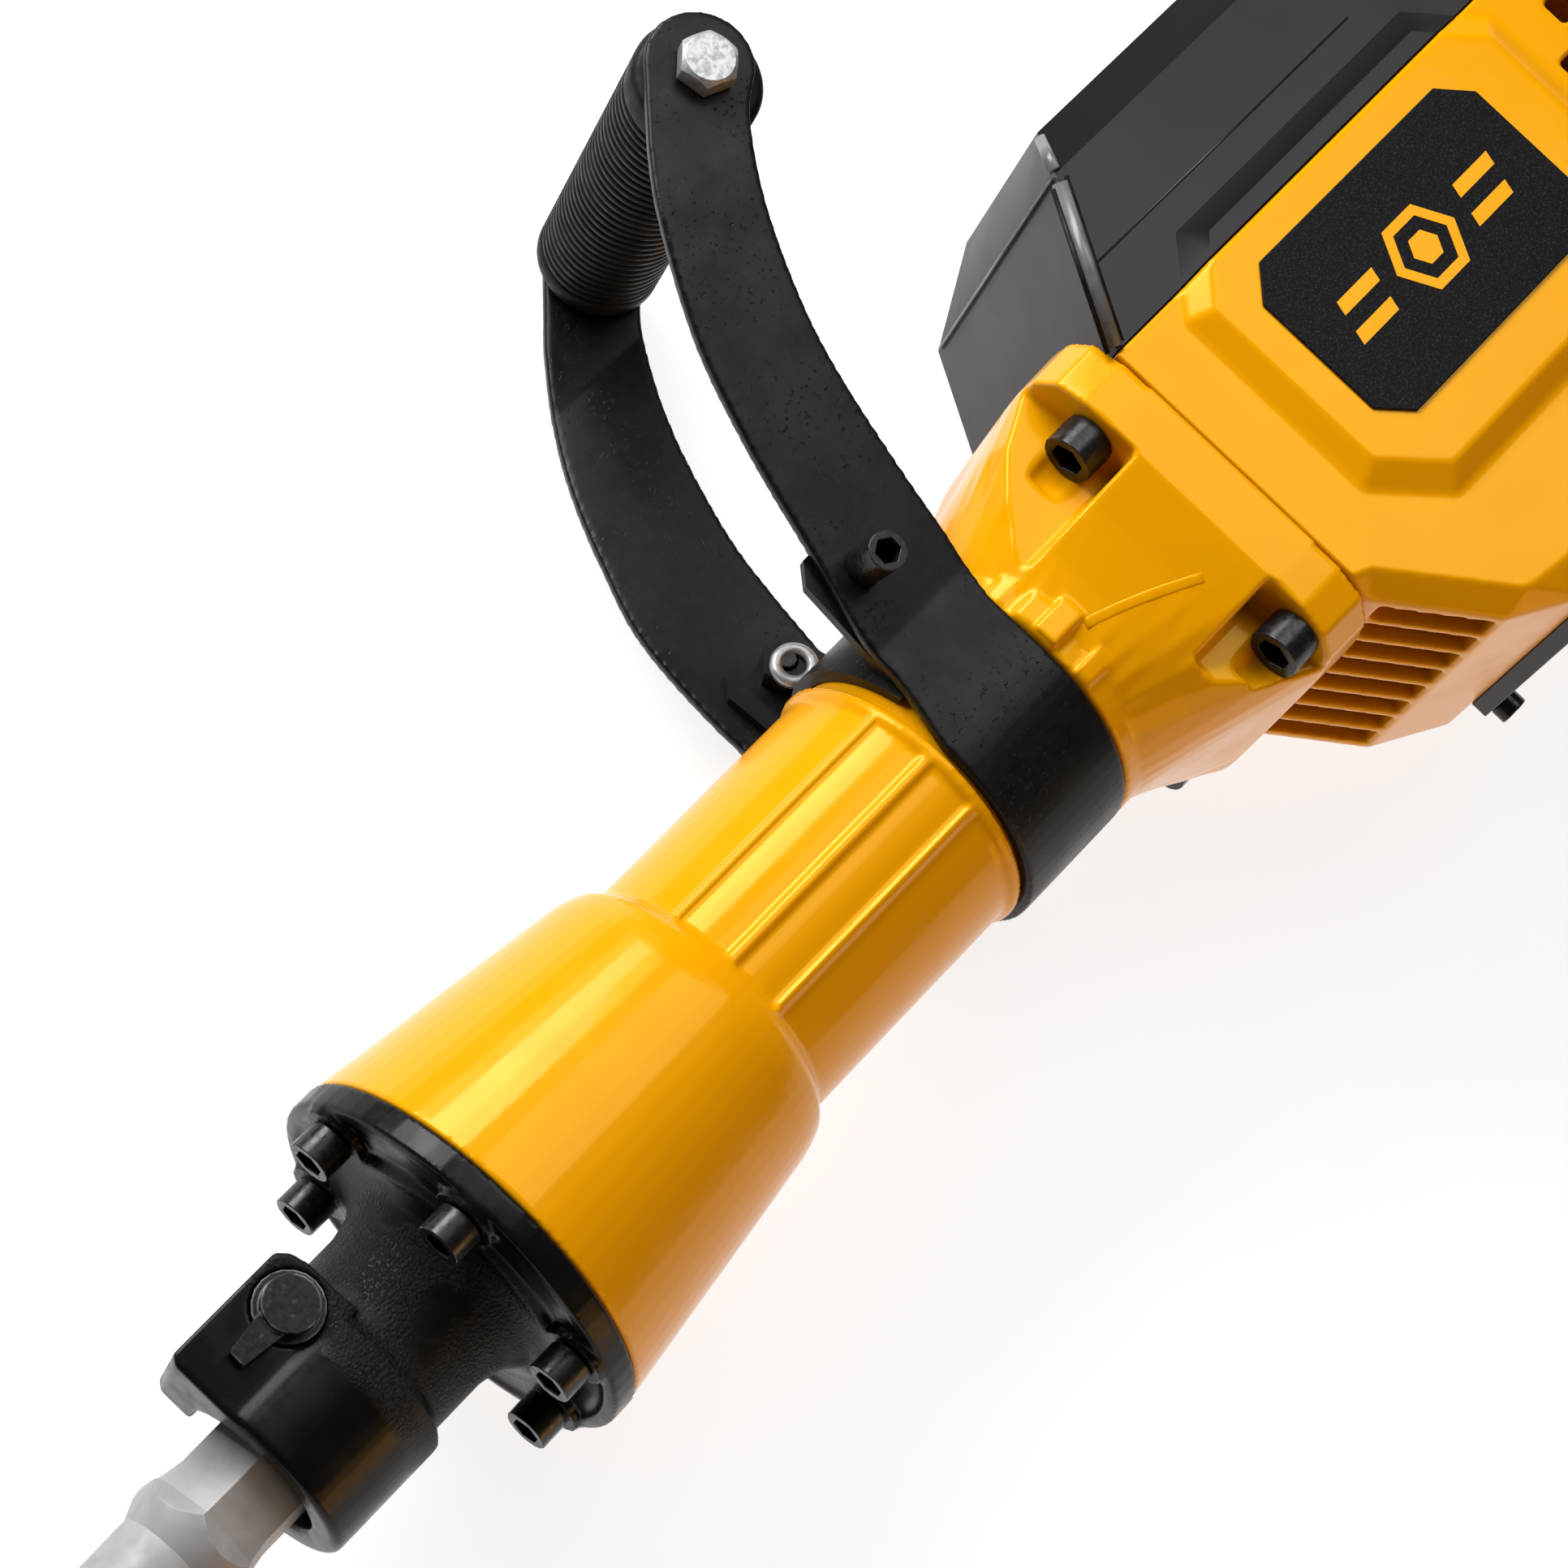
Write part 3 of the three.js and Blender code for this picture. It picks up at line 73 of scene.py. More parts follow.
FLANGE_THICKNESS = 8.8                                   # flange and gasket gap, front face to barrel
_case_low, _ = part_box("cylinder_case")
_liner_low, _liner_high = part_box("cylinder_liner")
AXIS = (_liner_low + _liner_high) / 2
ORIGIN = Vector((_case_low.x - FLANGE_THICKNESS * MM, AXIS.y, AXIS.z))


def at(x, y, z):
    """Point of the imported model's frame, from millimetres about the barrel's axis."""
    return ORIGIN + Vector((x, y, z)) * MM


# ------------------------------------------------------------------ camera

SENSOR = 36.0                                            # millimetres
LENS = 107.687                                           # millimetres
# The camera's axes as directions in the frame, and its place in millimetres about the barrel's axis.
CAMERA_RIGHT = Vector((0.64911, -0.72349, 0.23500))
CAMERA_DOWN = Vector((-0.65314, -0.68844, -0.31537))
CAMERA_FORWARD = Vector((0.38995, 0.05122, -0.91941))
CAMERA_PLACE = (-327.6, -37.94, 1152.3)


def make_camera():
    data = bpy.data.cameras.new("camera")
    data.sensor_fit = "HORIZONTAL"
    data.sensor_width = SENSOR
    data.lens = LENS
    data.clip_start, data.clip_end = 0.05, 50
    camera = bpy.data.objects.new("camera", data)
    bpy.context.scene.collection.objects.link(camera)
    turn = Matrix((CAMERA_RIGHT, -CAMERA_DOWN, -CAMERA_FORWARD)).transposed().to_quaternion()
    camera.matrix_world = Matrix.Translation(at(*CAMERA_PLACE)) @ turn.to_matrix().to_4x4()
    bpy.context.scene.camera = camera


# ------------------------------------------------------------------ node materials

class Shader:
    """A Principled material with short calls for the nodes that feed it."""

    def __init__(self, name, colour, roughness, metallic=0.0, coat=0.0, coat_roughness=0.1, specular=0.5):
        self.material = bpy.data.materials.new(name)
        self.material.use_nodes = True
        self.tree = self.material.node_tree
        self.bsdf = self.tree.nodes["Principled BSDF"]
        self.material.diffuse_color = (*colour, 1)
        self.set("Base Color", (*colour, 1))
        self.set("Roughness", roughness)
        self.set("Metallic", metallic)
        self.set("Coat Weight", coat)
        self.set("Coat Roughness", coat_roughness)
        self.set("Specular IOR Level", specular)
        self.colour = self.roughness = self.height = None
        self.base_colour, self.base_roughness = colour, roughness
        self.place = self.node("ShaderNodeTexCoord").outputs["Object"]

    def set(self, socket, value):
        self.bsdf.inputs[socket].default_value = value

    def node(self, kind, **settings):
        node = self.tree.nodes.new(kind)
        for key, value in settings.items():
            setattr(node, key, value)
        return node

    def link(self, source, target):
        self.tree.links.new(source, target)

    def noise(self, size_mm, detail=3.0, distortion=0.0):
        """Noise with patches of about that size, around 0.5."""
        noise = self.node("ShaderNodeTexNoise")
        noise.inputs["Scale"].default_value = 1 / (size_mm * MM)
        noise.inputs["Detail"].default_value = detail
        noise.inputs["Distortion"].default_value = distortion
        self.link(self.place, noise.inputs["Vector"])
        return noise.outputs["Fac"]

    def remap(self, value, low, high, out_low=0.0, out_high=1.0):
        """Stretches a value's range from low to high over another, and clamps it there."""
        ramp = self.node("ShaderNodeMapRange", clamp=True)
        for name, number in zip(("From Min", "From Max", "To Min", "To Max"), (low, high, out_low, out_high)):
            ramp.inputs[name].default_value = number
        self.link(value, ramp.inputs["Value"])
        return ramp.outputs["Result"]

    def math(self, operation, a, b):
        node = self.node("ShaderNodeMath", operation=operation)
        for socket, value in zip(node.inputs, (a, b)):
            if isinstance(value, (int, float)):
                socket.default_value = value
            else:
                self.link(value, socket)
        return node.outputs[0]

    def tint(self, factor, colour):
        """Mixes a second colour over what the base colour is so far."""
        mix = self.node("ShaderNodeMix", data_type="RGBA")
        self.link(factor, mix.inputs[0])
        if self.colour is None:
            mix.inputs[6].default_value = (*self.base_colour, 1)
        else:
            self.link(self.colour, mix.inputs[6])
        mix.inputs[7].default_value = (*colour, 1)
        self.colour = mix.outputs[2]
        return self

    def gloss(self, factor, roughness):
        """Mixes a second roughness over what it is so far."""
        mix = self.node("ShaderNodeMix", data_type="FLOAT")
        self.link(factor, mix.inputs[0])
        if self.roughness is None:
            mix.inputs[2].default_value = self.base_roughness
        else:
            self.link(self.roughness, mix.inputs[2])
        mix.inputs[3].default_value = roughness
        self.roughness = mix.outputs[0]
        return self

    def relief(self, value, depth_mm, strength=1.0):
        """Adds a bump of that depth."""
        bump = self.node("ShaderNodeBump")
        bump.inputs["Distance"].default_value = depth_mm * MM
        bump.inputs["Strength"].default_value = strength
        self.link(value, bump.inputs["Height"])
        if self.height is not None:
            self.link(self.height, bump.inputs["Normal"])
        self.height = bump.outputs["Normal"]
        return self

    def facing(self, axis):
        """How far the surface faces along one axis of the object: 1 straight along it, -1 away."""
        split = self.node("ShaderNodeSeparateXYZ")
        self.link(self.node("ShaderNodeTexCoord").outputs["Normal"], split.inputs[0])
        return split.outputs[axis]

    def between(self, axis, low, high, fade_mm):
        """1 where the surface lies between two places along an axis, fading out over a length."""
        split = self.node("ShaderNodeSeparateXYZ")
        self.link(self.place, split.inputs[0])
        fade = fade_mm * MM
        rise = self.remap(split.outputs[axis], low - fade, low)
        fall = self.remap(split.outputs[axis], high, high + fade, 1.0, 0.0)
        return self.math("MULTIPLY", rise, fall)

    def edges(self, radius_mm, low=0.02, high=0.2):
        """Where the surface turns within a radius, broken up by noise: 0 on flats, 1 on edges."""
        bevel = self.node("ShaderNodeBevel", samples=4)
        bevel.inputs["Radius"].default_value = radius_mm * MM
        geometry = self.node("ShaderNodeNewGeometry")
        dot = self.node("ShaderNodeVectorMath", operation="DOT_PRODUCT")
        self.link(bevel.outputs["Normal"], dot.inputs[0])
        self.link(geometry.outputs["Normal"], dot.inputs[1])
        turned = self.math("SUBTRACT", 1.0, dot.outputs["Value"])
        patchy = self.remap(self.noise(6, 5), 0.45, 0.6)
        return self.math("MULTIPLY", self.remap(turned, low, high), patchy)

    def done(self):
        """Joins what has been built up to the Principled node."""
        if self.colour is not None:
            self.link(self.colour, self.bsdf.inputs["Base Color"])
        if self.roughness is not None:
            self.link(self.roughness, self.bsdf.inputs["Roughness"])
        if self.height is not None:
            self.link(self.height, self.bsdf.inputs["Normal"])
            if self.bsdf.inputs["Coat Weight"].default_value > 0:
                self.link(self.height, self.bsdf.inputs["Coat Normal"])
        return self.material


def yellow_enamel():
    s = Shader("yellow_enamel", (0.74, 0.31, 0.0), 0.17, coat=0.08, coat_roughness=0.035, specular=0.5)
    s.set("IOR", 1.43)
    s.set("Specular Tint", (1.0, 0.72, 0.12, 1.0))
    s.set("Coat IOR", 1.4)
    s.tint(s.remap(s.noise(70, 2), 0.4, 0.65), (0.72, 0.3, 0.0))
    s.gloss(s.remap(s.noise(18, 4), 0.4, 0.65), 0.25)
    s.relief(s.noise(11, 2), 0.10, 0.5)
    s.relief(s.noise(1.1, 2), 0.010, 0.4)
    return s.done()


def black_enamel():
    s = Shader("black_enamel", (0.0045, 0.0045, 0.0047), 0.3, specular=0.16)
    pits = s.remap(s.noise(1.4, 4, 0.15), 0.63, 0.72)
    patch = s.remap(s.noise(38, 2), 0.4, 0.56)
    spots = s.math("MULTIPLY", pits, patch)
    s.tint(s.remap(s.noise(3, 5), 0.45, 0.65), (0.007, 0.007, 0.0072))
    s.gloss(s.remap(s.noise(14, 4), 0.4, 0.65), 0.4)
    s.relief(s.math("SUBTRACT", 1.0, spots), 0.25, 0.6)
    s.relief(s.noise(1.2, 3), 0.03, 0.6)
    return s.done()


def black_casting():
    """Smooth paint over cast iron, with coarse sand grain showing on the neck behind the nose."""
    s = Shader("black_casting", (0.003, 0.003, 0.0031), 0.24, specular=0.16)
    neck = s.between("X", at(-40, 0, 0).x, at(-6, 0, 0).x, 6)
    grain = s.remap(s.noise(0.9, 5), 0.4, 0.66)
    sand = s.math("MULTIPLY", grain, s.math("MULTIPLY", neck, s.remap(s.noise(20, 3), 0.38, 0.52)))
    s.tint(sand, (0.012, 0.012, 0.0124))
    s.gloss(s.remap(s.noise(9, 4), 0.45, 0.62), 0.34)
    s.gloss(neck, 0.45)
    s.relief(sand, 0.4, 0.9)
    s.relief(s.noise(0.7, 4), 0.03, 0.5)
    return s.done()


def black_plastic():
    s = Shader("black_plastic", (0.008, 0.008, 0.0084), 0.28, specular=0.36)
    s.tint(s.remap(s.noise(40, 2), 0.4, 0.65), (0.011, 0.011, 0.0114))
    s.gloss(s.remap(s.noise(20, 4), 0.4, 0.65), 0.34)
    s.relief(s.noise(0.45, 2), 0.014, 0.4)
    return s.done()


def housing_plastic():
    """Glossy black on the flat faces; the bevel strips turned toward the front handle are matt, and tinted
    near black as painted shade.
    """
    s = Shader("housing_plastic", (0.02, 0.02, 0.0206), 0.28, specular=0.15)
    along = s.math("MULTIPLY", s.facing("X"), s.facing("X"))
    # Painted shade: a mask of the surfaces turned toward the front handle, which darkens them by the way they
    # face.
    painted_shade_bevels = s.math("MULTIPLY", s.remap(s.facing("Y"), 0.25, 0.5), s.remap(along, 0.12, 0.3, 1.0, 0.0))
    s.tint(s.remap(s.noise(40, 2), 0.4, 0.65), (0.025, 0.025, 0.0257))
    s.tint(painted_shade_bevels, (0.001, 0.001, 0.00105))
    s.gloss(s.remap(s.noise(20, 4), 0.4, 0.65), 0.34)
    s.gloss(painted_shade_bevels, 0.9)
    s.relief(s.noise(0.45, 2), 0.014, 0.4)
    return s.done()


def black_rubber():
    s = Shader("black_rubber", (0.003, 0.003, 0.0032), 0.4, specular=0.13)
    s.tint(s.remap(s.noise(12, 4), 0.45, 0.65), (0.011, 0.011, 0.0115))
    s.gloss(s.remap(s.noise(4, 4), 0.4, 0.62), 0.55)
    s.relief(s.noise(0.6, 3), 0.03, 0.5)
    return s.done()


def black_oxide():
    s = Shader("black_oxide", (0.009, 0.009, 0.0095), 0.22, metallic=0.2, specular=0.4)
    s.tint(s.remap(s.noise(3, 4), 0.45, 0.65), (0.005, 0.005, 0.0055))
    s.tint(s.edges(0.5), (0.1, 0.1, 0.104))
    s.gloss(s.remap(s.noise(1.6, 4), 0.4, 0.62), 0.38)
    s.relief(s.noise(0.5, 3), 0.012, 0.5)
    return s.done()


def pale_edged_oxide():
    """Blackened steel, much lighter along its edges."""
    s = Shader("pale_edged_oxide", (0.007, 0.007, 0.0075), 0.26, metallic=0.2, specular=0.4)
    s.tint(s.remap(s.noise(2.2, 5), 0.6, 0.72), (0.05, 0.05, 0.052))
    s.tint(s.edges(1.0, 0.01, 0.12), (0.3, 0.3, 0.31))
    s.gloss(s.remap(s.noise(1.6, 4), 0.4, 0.62), 0.4)
    s.relief(s.noise(0.8, 3), 0.03, 0.5)
    return s.done()


def zinc_plate():
    s = Shader("zinc_plate", (0.42, 0.425, 0.43), 0.34, metallic=0.7)
    s.tint(s.remap(s.noise(2.4, 5), 0.45, 0.62), (0.28, 0.285, 0.29))
    s.gloss(s.remap(s.noise(1.2, 4), 0.4, 0.62), 0.5)
    s.relief(s.noise(1.1, 3), 0.05, 0.7)
    return s.done()


def forged_steel():
    s = Shader("forged_steel", (0.34, 0.34, 0.345), 0.45, metallic=0.12, specular=0.35)
    s.tint(s.remap(s.noise(14, 5, 0.4), 0.42, 0.62), (0.28, 0.28, 0.285))
    s.tint(s.edges(0.8), (0.6, 0.6, 0.61))
    s.gloss(s.remap(s.noise(5, 5), 0.4, 0.65), 0.58)
    s.relief(s.noise(0.8, 4), 0.012, 0.4)
    return s.done()


def ground_steel():
    s = Shader("ground_steel", (0.6, 0.61, 0.62), 0.22, metallic=1.0)
    s.tint(s.remap(s.noise(14, 4), 0.42, 0.62), (0.48, 0.49, 0.5))
    s.gloss(s.remap(s.noise(2, 4), 0.4, 0.65), 0.34)
    s.relief(s.noise(0.7, 3), 0.006, 0.4)
    return s.done()


def piston_alloy():
    s = Shader("piston_alloy", (0.7, 0.71, 0.72), 0.3, metallic=1.0)
    s.tint(s.remap(s.noise(10, 4), 0.42, 0.62), (0.56, 0.57, 0.58))
    s.relief(s.noise(0.6, 3), 0.01, 0.4)
    return s.done()


def copper():
    s = Shader("copper", (0.75, 0.36, 0.2), 0.25, metallic=1.0)
    s.tint(s.remap(s.noise(6, 4), 0.45, 0.62), (0.5, 0.22, 0.12))
    s.relief(s.noise(0.6, 3), 0.006, 0.4)
    return s.done()


def carbon():
    s = Shader("carbon", (0.03, 0.03, 0.03), 0.6)
    s.tint(s.remap(s.noise(1, 5), 0.5, 0.65), (0.06, 0.06, 0.06))
    s.relief(s.noise(0.5, 3), 0.02, 0.5)
    return s.done()


def badge_black():
    s = Shader("badge_black", (0.0045, 0.0045, 0.005), 0.5, specular=0.08)
    grain = s.remap(s.noise(0.7, 3), 0.5, 0.75)
    s.tint(grain, (0.022, 0.023, 0.027))
    s.gloss(grain, 0.4)
    s.relief(s.noise(0.9, 2), 0.05, 0.6)
    return s.done()


def red_plastic():
    s = Shader("red_plastic", (0.6, 0.05, 0.02), 0.4)
    s.tint(s.remap(s.noise(6, 3), 0.45, 0.62), (0.5, 0.035, 0.015))
    s.relief(s.noise(0.6, 3), 0.02, 0.4)
    return s.done()


# Painted highlight: a light grey that stands in for the light reflected along the housing's beads and crease.
def painted_highlight_grey():
    s = Shader("painted_highlight_grey", (0.13, 0.13, 0.135), 0.3)
    s.tint(s.remap(s.noise(5, 3), 0.45, 0.62), (0.1, 0.1, 0.105))
    s.relief(s.noise(0.6, 3), 0.02, 0.4)
    return s.done()


MATERIALS = {make.__name__: make() for make in (
    yellow_enamel, black_enamel, black_casting, black_plastic, black_rubber, black_oxide, zinc_plate,
    forged_steel, ground_steel, piston_alloy, copper, carbon, badge_black, red_plastic, painted_highlight_grey,
    housing_plastic, pale_edged_oxide,
)}
OWN_MATERIAL = {"gear_housing": "housing_plastic", "retainer_pin": "pale_edged_oxide"}


# ------------------------------------------------------------------ the CAD pieces

# Castings: the size of the grid they are remeshed on in millimetres, and how often they are then smoothed.
CAST_GRID = {
    "cylinder_case": (0.9, 2),
    "crank_case": (1.0, 2),
    "front_cover": (0.7, 4),
    "handle_bracket": (0.7, 8),
}
KEPT_FACES = 0.3                                         # share of the grid's faces that the shape needs
WELD_DISTANCE = 1e-6                                     # metres
# Width of the rounded edge of the other pieces in millimetres, by the beginning of the name.
EDGE_ROUNDING = {
    "gear_housing": 1.0,
    "handle_": 0.7,
    "chisel_bit": 0.5,
    "end_cover": 0.6,
    "retainer_pin": 0.6,
    "grip_bolt": 0.5,
}
SMALL_EDGE = 0.35                                        # millimetres, for every other piece
SHARP_ANGLE = {"chisel_bit": 13}                         # degrees, above which an edge is rounded
USUAL_SHARP_ANGLE = 28


def edge_width(name):
    found = [width for start, width in EDGE_ROUNDING.items() if name.startswith(start)]
    return found[-1] if found else SMALL_EDGE


def weld(piece):
    """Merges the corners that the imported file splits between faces."""
    merge = piece.modifiers.new("weld", "WELD")
    merge.merge_threshold = WELD_DISTANCE


def cast(piece, grid_mm, smoothings):
    """Gives a casting its soft fillets: a fine even grid of faces, smoothed."""
    grid = piece.modifiers.new("grid", "REMESH")
    grid.mode = "VOXEL"
    grid.voxel_size = grid_mm * MM
    grid.use_smooth_shade = True
    smooth = piece.modifiers.new("fillets", "SMOOTH")
    smooth.factor = 0.5
    smooth.iterations = smoothings
    thin = piece.modifiers.new("thin", "DECIMATE")
    thin.ratio = KEPT_FACES


def round_edges(piece, width_mm, segments=3):
    """Rounds the sharp edges and shades the rest smooth."""
    bevel = piece.modifiers.new("edges", "BEVEL")
    bevel.width = width_mm * MM
    bevel.segments = segments
    bevel.limit_method = "ANGLE"
    bevel.angle_limit = math.radians(SHARP_ANGLE.get(piece.name, USUAL_SHARP_ANGLE))
    bevel.harden_normals = True
    bevel.use_clamp_overlap = True
    bevel.miter_outer = "MITER_ARC"


def clear_normals(piece):
    """Drops the imported corner normals, so that the rounded edges shade from the surface itself."""
    mesh = piece.data
    with bpy.context.temp_override(object=piece, active_object=piece, mesh=mesh):
        bpy.ops.mesh.customdata_custom_splitnormals_clear()
    mesh.polygons.foreach_set("use_smooth", [True] * len(mesh.polygons))
    mesh.update()


def dress_nodes():
    """Gives every CAD piece its material and its soft or rounded edges."""
    slots = {row["node"]: row["material_slot"] for row in frame["record"]["subparts"]}
    for name, node in NODES.items():
        node.data.materials.clear()
        node.data.materials.append(MATERIALS[OWN_MATERIAL.get(name, slots[name])])
        clear_normals(node)
        weld(node)
        if name in CAST_GRID:
            cast(node, *CAST_GRID[name])
        else:
            round_edges(node, edge_width(name))


# ------------------------------------------------------------------ added pieces

def add_piece(name, mesh, slot, body, replaces=None, material=None):
    """Adds a piece of detail to a body of the frame, in the material that the slot names unless another is
    given.
    """
    piece = bpy.data.objects.new(name, mesh)
    bpy.context.scene.collection.objects.link(piece)
    mesh.materials.append(MATERIALS[material or slot])
    mesh.polygons.foreach_set("use_smooth", [True] * len(mesh.polygons))
    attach(piece, body)
    if replaces:
        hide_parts(replaces)


def mesh_from(name, build):
    bm = bmesh.new()
    build(bm)
    bmesh.ops.recalc_face_normals(bm, faces=bm.faces)
    mesh = bpy.data.meshes.new(name)
    bm.to_mesh(mesh)
    bm.free()
    return mesh


def lathe(profile, count, placed):
    """Builder of a closed turned body from (along, radius) points in mm, set in place by a matrix."""
    def build(bm):
        rings = []
        for along, radius in profile:
            angles = [2 * math.pi * i / count for i in range(count)]
            ring = [(radius * math.cos(a), radius * math.sin(a), along) for a in angles]
            rings.append([bm.verts.new(placed @ (Vector(point) * MM)) for point in ring])
        for low, high in zip(rings, rings[1:] + rings[:1]):
            for i in range(count):
                j = (i + 1) % count
                bm.faces.new((low[i], low[j], high[j], high[i]))
    return build


# The front grip, in millimetres.
GRIP_TILT = Matrix.Rotation(math.radians(1.1), 4, "Y") @ Matrix.Rotation(math.radians(1.5), 4, "X")
GRIP_HALF = 59.0                                         # half its length
GRIP_RADIUS = 18.35
GRIP_BORE = 5.6                                          # radius of the hole for the bolt
GRIP_RIBS = 30
GRIP_END = 8.0                                           # smooth length at each end
RIB_DEPTH = 1.25
RIB_SHAPE = ((0.0, 0.0), (0.12, 0.45), (0.25, 1.0), (0.37, 0.45), (0.5, 0.0), (0.75, 0.0))
END_ROUNDING = ((0.0, 2.2), (0.7, 0.8), (2.2, 0.0))      # steps in from the end face and down from the rim
GRIP_SIDES = 96


def grip():
    """Rubber grip: close round ribs between two smooth ends, open through the middle."""
    low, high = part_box("front_grip")
    centre = (low + high) / 2
    profile = [(-GRIP_HALF, GRIP_BORE)]
    profile += [(-GRIP_HALF + inward, GRIP_RADIUS - down) for inward, down in END_ROUNDING]
    pitch = (2 * GRIP_HALF - 2 * GRIP_END) / GRIP_RIBS
    for i in range(GRIP_RIBS):
        start = -GRIP_HALF + GRIP_END + i * pitch
        profile += [(start + part * pitch, GRIP_RADIUS - RIB_DEPTH * cut) for part, cut in RIB_SHAPE]
    profile.append((GRIP_HALF - GRIP_END, GRIP_RADIUS))
    profile += [(GRIP_HALF - inward, GRIP_RADIUS - down) for inward, down in reversed(END_ROUNDING)]
    profile.append((GRIP_HALF, GRIP_BORE))
    mesh = mesh_from("grip_ribbed", lathe(profile, GRIP_SIDES, Matrix.Translation(centre) @ GRIP_TILT))
    add_piece("grip_ribbed", mesh, "black_rubber", "front_handle", replaces="front_grip")


# Cross-section of a bead: shares of its width to the side and of its height outward.
BEAD_ARCH = ((-0.5, -0.6), (-0.46, 0.35), (-0.25, 0.9), (0, 1.0), (0.25, 0.9), (0.46, 0.35), (0.5, -0.6))


def bar(points, width, height):
    """Builder of a low rounded bead along a polyline: each point is a (place, outward) pair in mm."""
    def build(bm):
        rings = []
        places = [at(*place) for place, _ in points]
        for i, (_, outward) in enumerate(points):
            ahead = places[min(i + 1, len(points) - 1)] - places[max(i - 1, 0)]
            up = Vector(outward).normalized()
            side = ahead.cross(up).normalized()
            across, out = side * (width * MM), up * (height * MM)
            rings.append([bm.verts.new(places[i] + across * a + out * b) for a, b in BEAD_ARCH])
        count = len(rings[0])
        for low, high in zip(rings, rings[1:]):
            for i in range(count):
                j = (i + 1) % count
                bm.faces.new((low[i], low[j], high[j], high[i]))
        bm.faces.new(rings[0])
        bm.faces.new(list(reversed(rings[-1])))
    return build


def extruded(outlines, low, high):
    """Builder of flat plates from closed outlines of (x, y) points in mm, between two heights."""
    def build(bm):
        for outline in outlines:
            bottom = [bm.verts.new(at(x, y, low)) for x, y in outline]
            top = [bm.verts.new(at(x, y, high)) for x, y in outline]
            bm.faces.new(list(reversed(bottom)))
            bm.faces.new(top)
            for i in range(len(outline)):
                j = (i + 1) % len(outline)
                bm.faces.new((bottom[i], bottom[j], top[j], top[i]))
    return build


# The emblem on the badge, in millimetres about the badge's middle.
RING_RADII = (13.0, 9.6)                                 # outer and inner corners of the hexagon ring
CORE_RADIUS = 5.2
BAR_ENDS = (18.5, 34.0)
BAR_HALF = 2.1                                           # half a bar's width
BAR_ROWS = (-4.6, 4.6)
BAR_LEAN = 0.28                                          # slant, sideways for each unit up
MARK_HEIGHTS = (0.02, 0.14)                              # underside and top, above the plate


def hexagon(x, y, radius):
    """Corners of a hexagon about a point."""
    angles = [math.radians(60 * i) for i in range(6)]
    return [(x + radius * math.cos(angle), y + radius * math.sin(angle)) for angle in angles]


def badge_mark():
    """Plain emblem on the badge: a hexagon in a hexagon ring, between two pairs of slanted bars."""
    low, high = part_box("badge_plate")
    x, y = ((low + high) / 2 - ORIGIN).xy / MM
    plate_top = (high.z - ORIGIN.z) / MM
    outer, inner = (hexagon(x, y, radius) for radius in RING_RADII)
    outlines = [[outer[i], outer[(i + 1) % 6], inner[(i + 1) % 6], inner[i]] for i in range(6)]
    outlines.append(hexagon(x, y, CORE_RADIUS))
    for side in (-1, 1):
        left, right = sorted(side * end for end in BAR_ENDS)
        for row in BAR_ROWS:
            below, above = row - BAR_HALF, row + BAR_HALF
            corners = ((left, below), (right, below), (right, above), (left, above))
            outlines.append([(x + across + BAR_LEAN * up, y + up) for across, up in corners])
    mesh = mesh_from("badge_mark", extruded(outlines, *(plate_top + height for height in MARK_HEIGHTS)))
    add_piece("badge_mark", mesh, "yellow_enamel", "case")
    mesh.polygons.foreach_set("use_smooth", [False] * len(mesh.polygons))


# The black housing's front corner, in millimetres about the barrel's axis.
HOUSING_FACE = 60.0                                      # height of its flat sides
HOUSING_EDGE = 36.0                                      # height of the lower edge of its bevel
CORNER_FOOT = (293.4, 42.5)                              # where the corner leaves the yellow case
CORNER_BEND = (318.6, 84.5)                              # where the bevel begins
UPPER_BEAD_FOOT = (321.0, 88.0, HOUSING_FACE - 1)
UPPER_BEAD_END = (337.0, 99.6, HOUSING_EDGE + 3)
CREASE = (319.4, 87.0)
CREASE_HALF = 57.0
SIDE_LINE = ((306.0, 62.0), (420.0, 62.0))
# Dark strips of painted shade stand in for the grooves before and behind the lower bead.
GROOVE_SHADE_SHIFTS = (-3.0, 2.9)                              # grooves before and behind the lower bead
# Width and height of each.
LOWER_BEAD_SIZE = (4.4, 1.3)
UPPER_BEAD_SIZE = (3.6, 1.1)
GROOVE_SHADE_SIZE = (1.5, 0.35)
CREASE_SIZE = (1.1, 0.3)
SIDE_LINE_SIZE = (0.7, 0.22)
# The ways that they bulge.
UP = (0, 0, 1)
UP_AND_FRONT = (-0.6, 0, 1)
UPPER_BEAD_WAY = (-0.5, 0.6, 1)
CREASE_WAY = (-0.8, 0.6, 0)


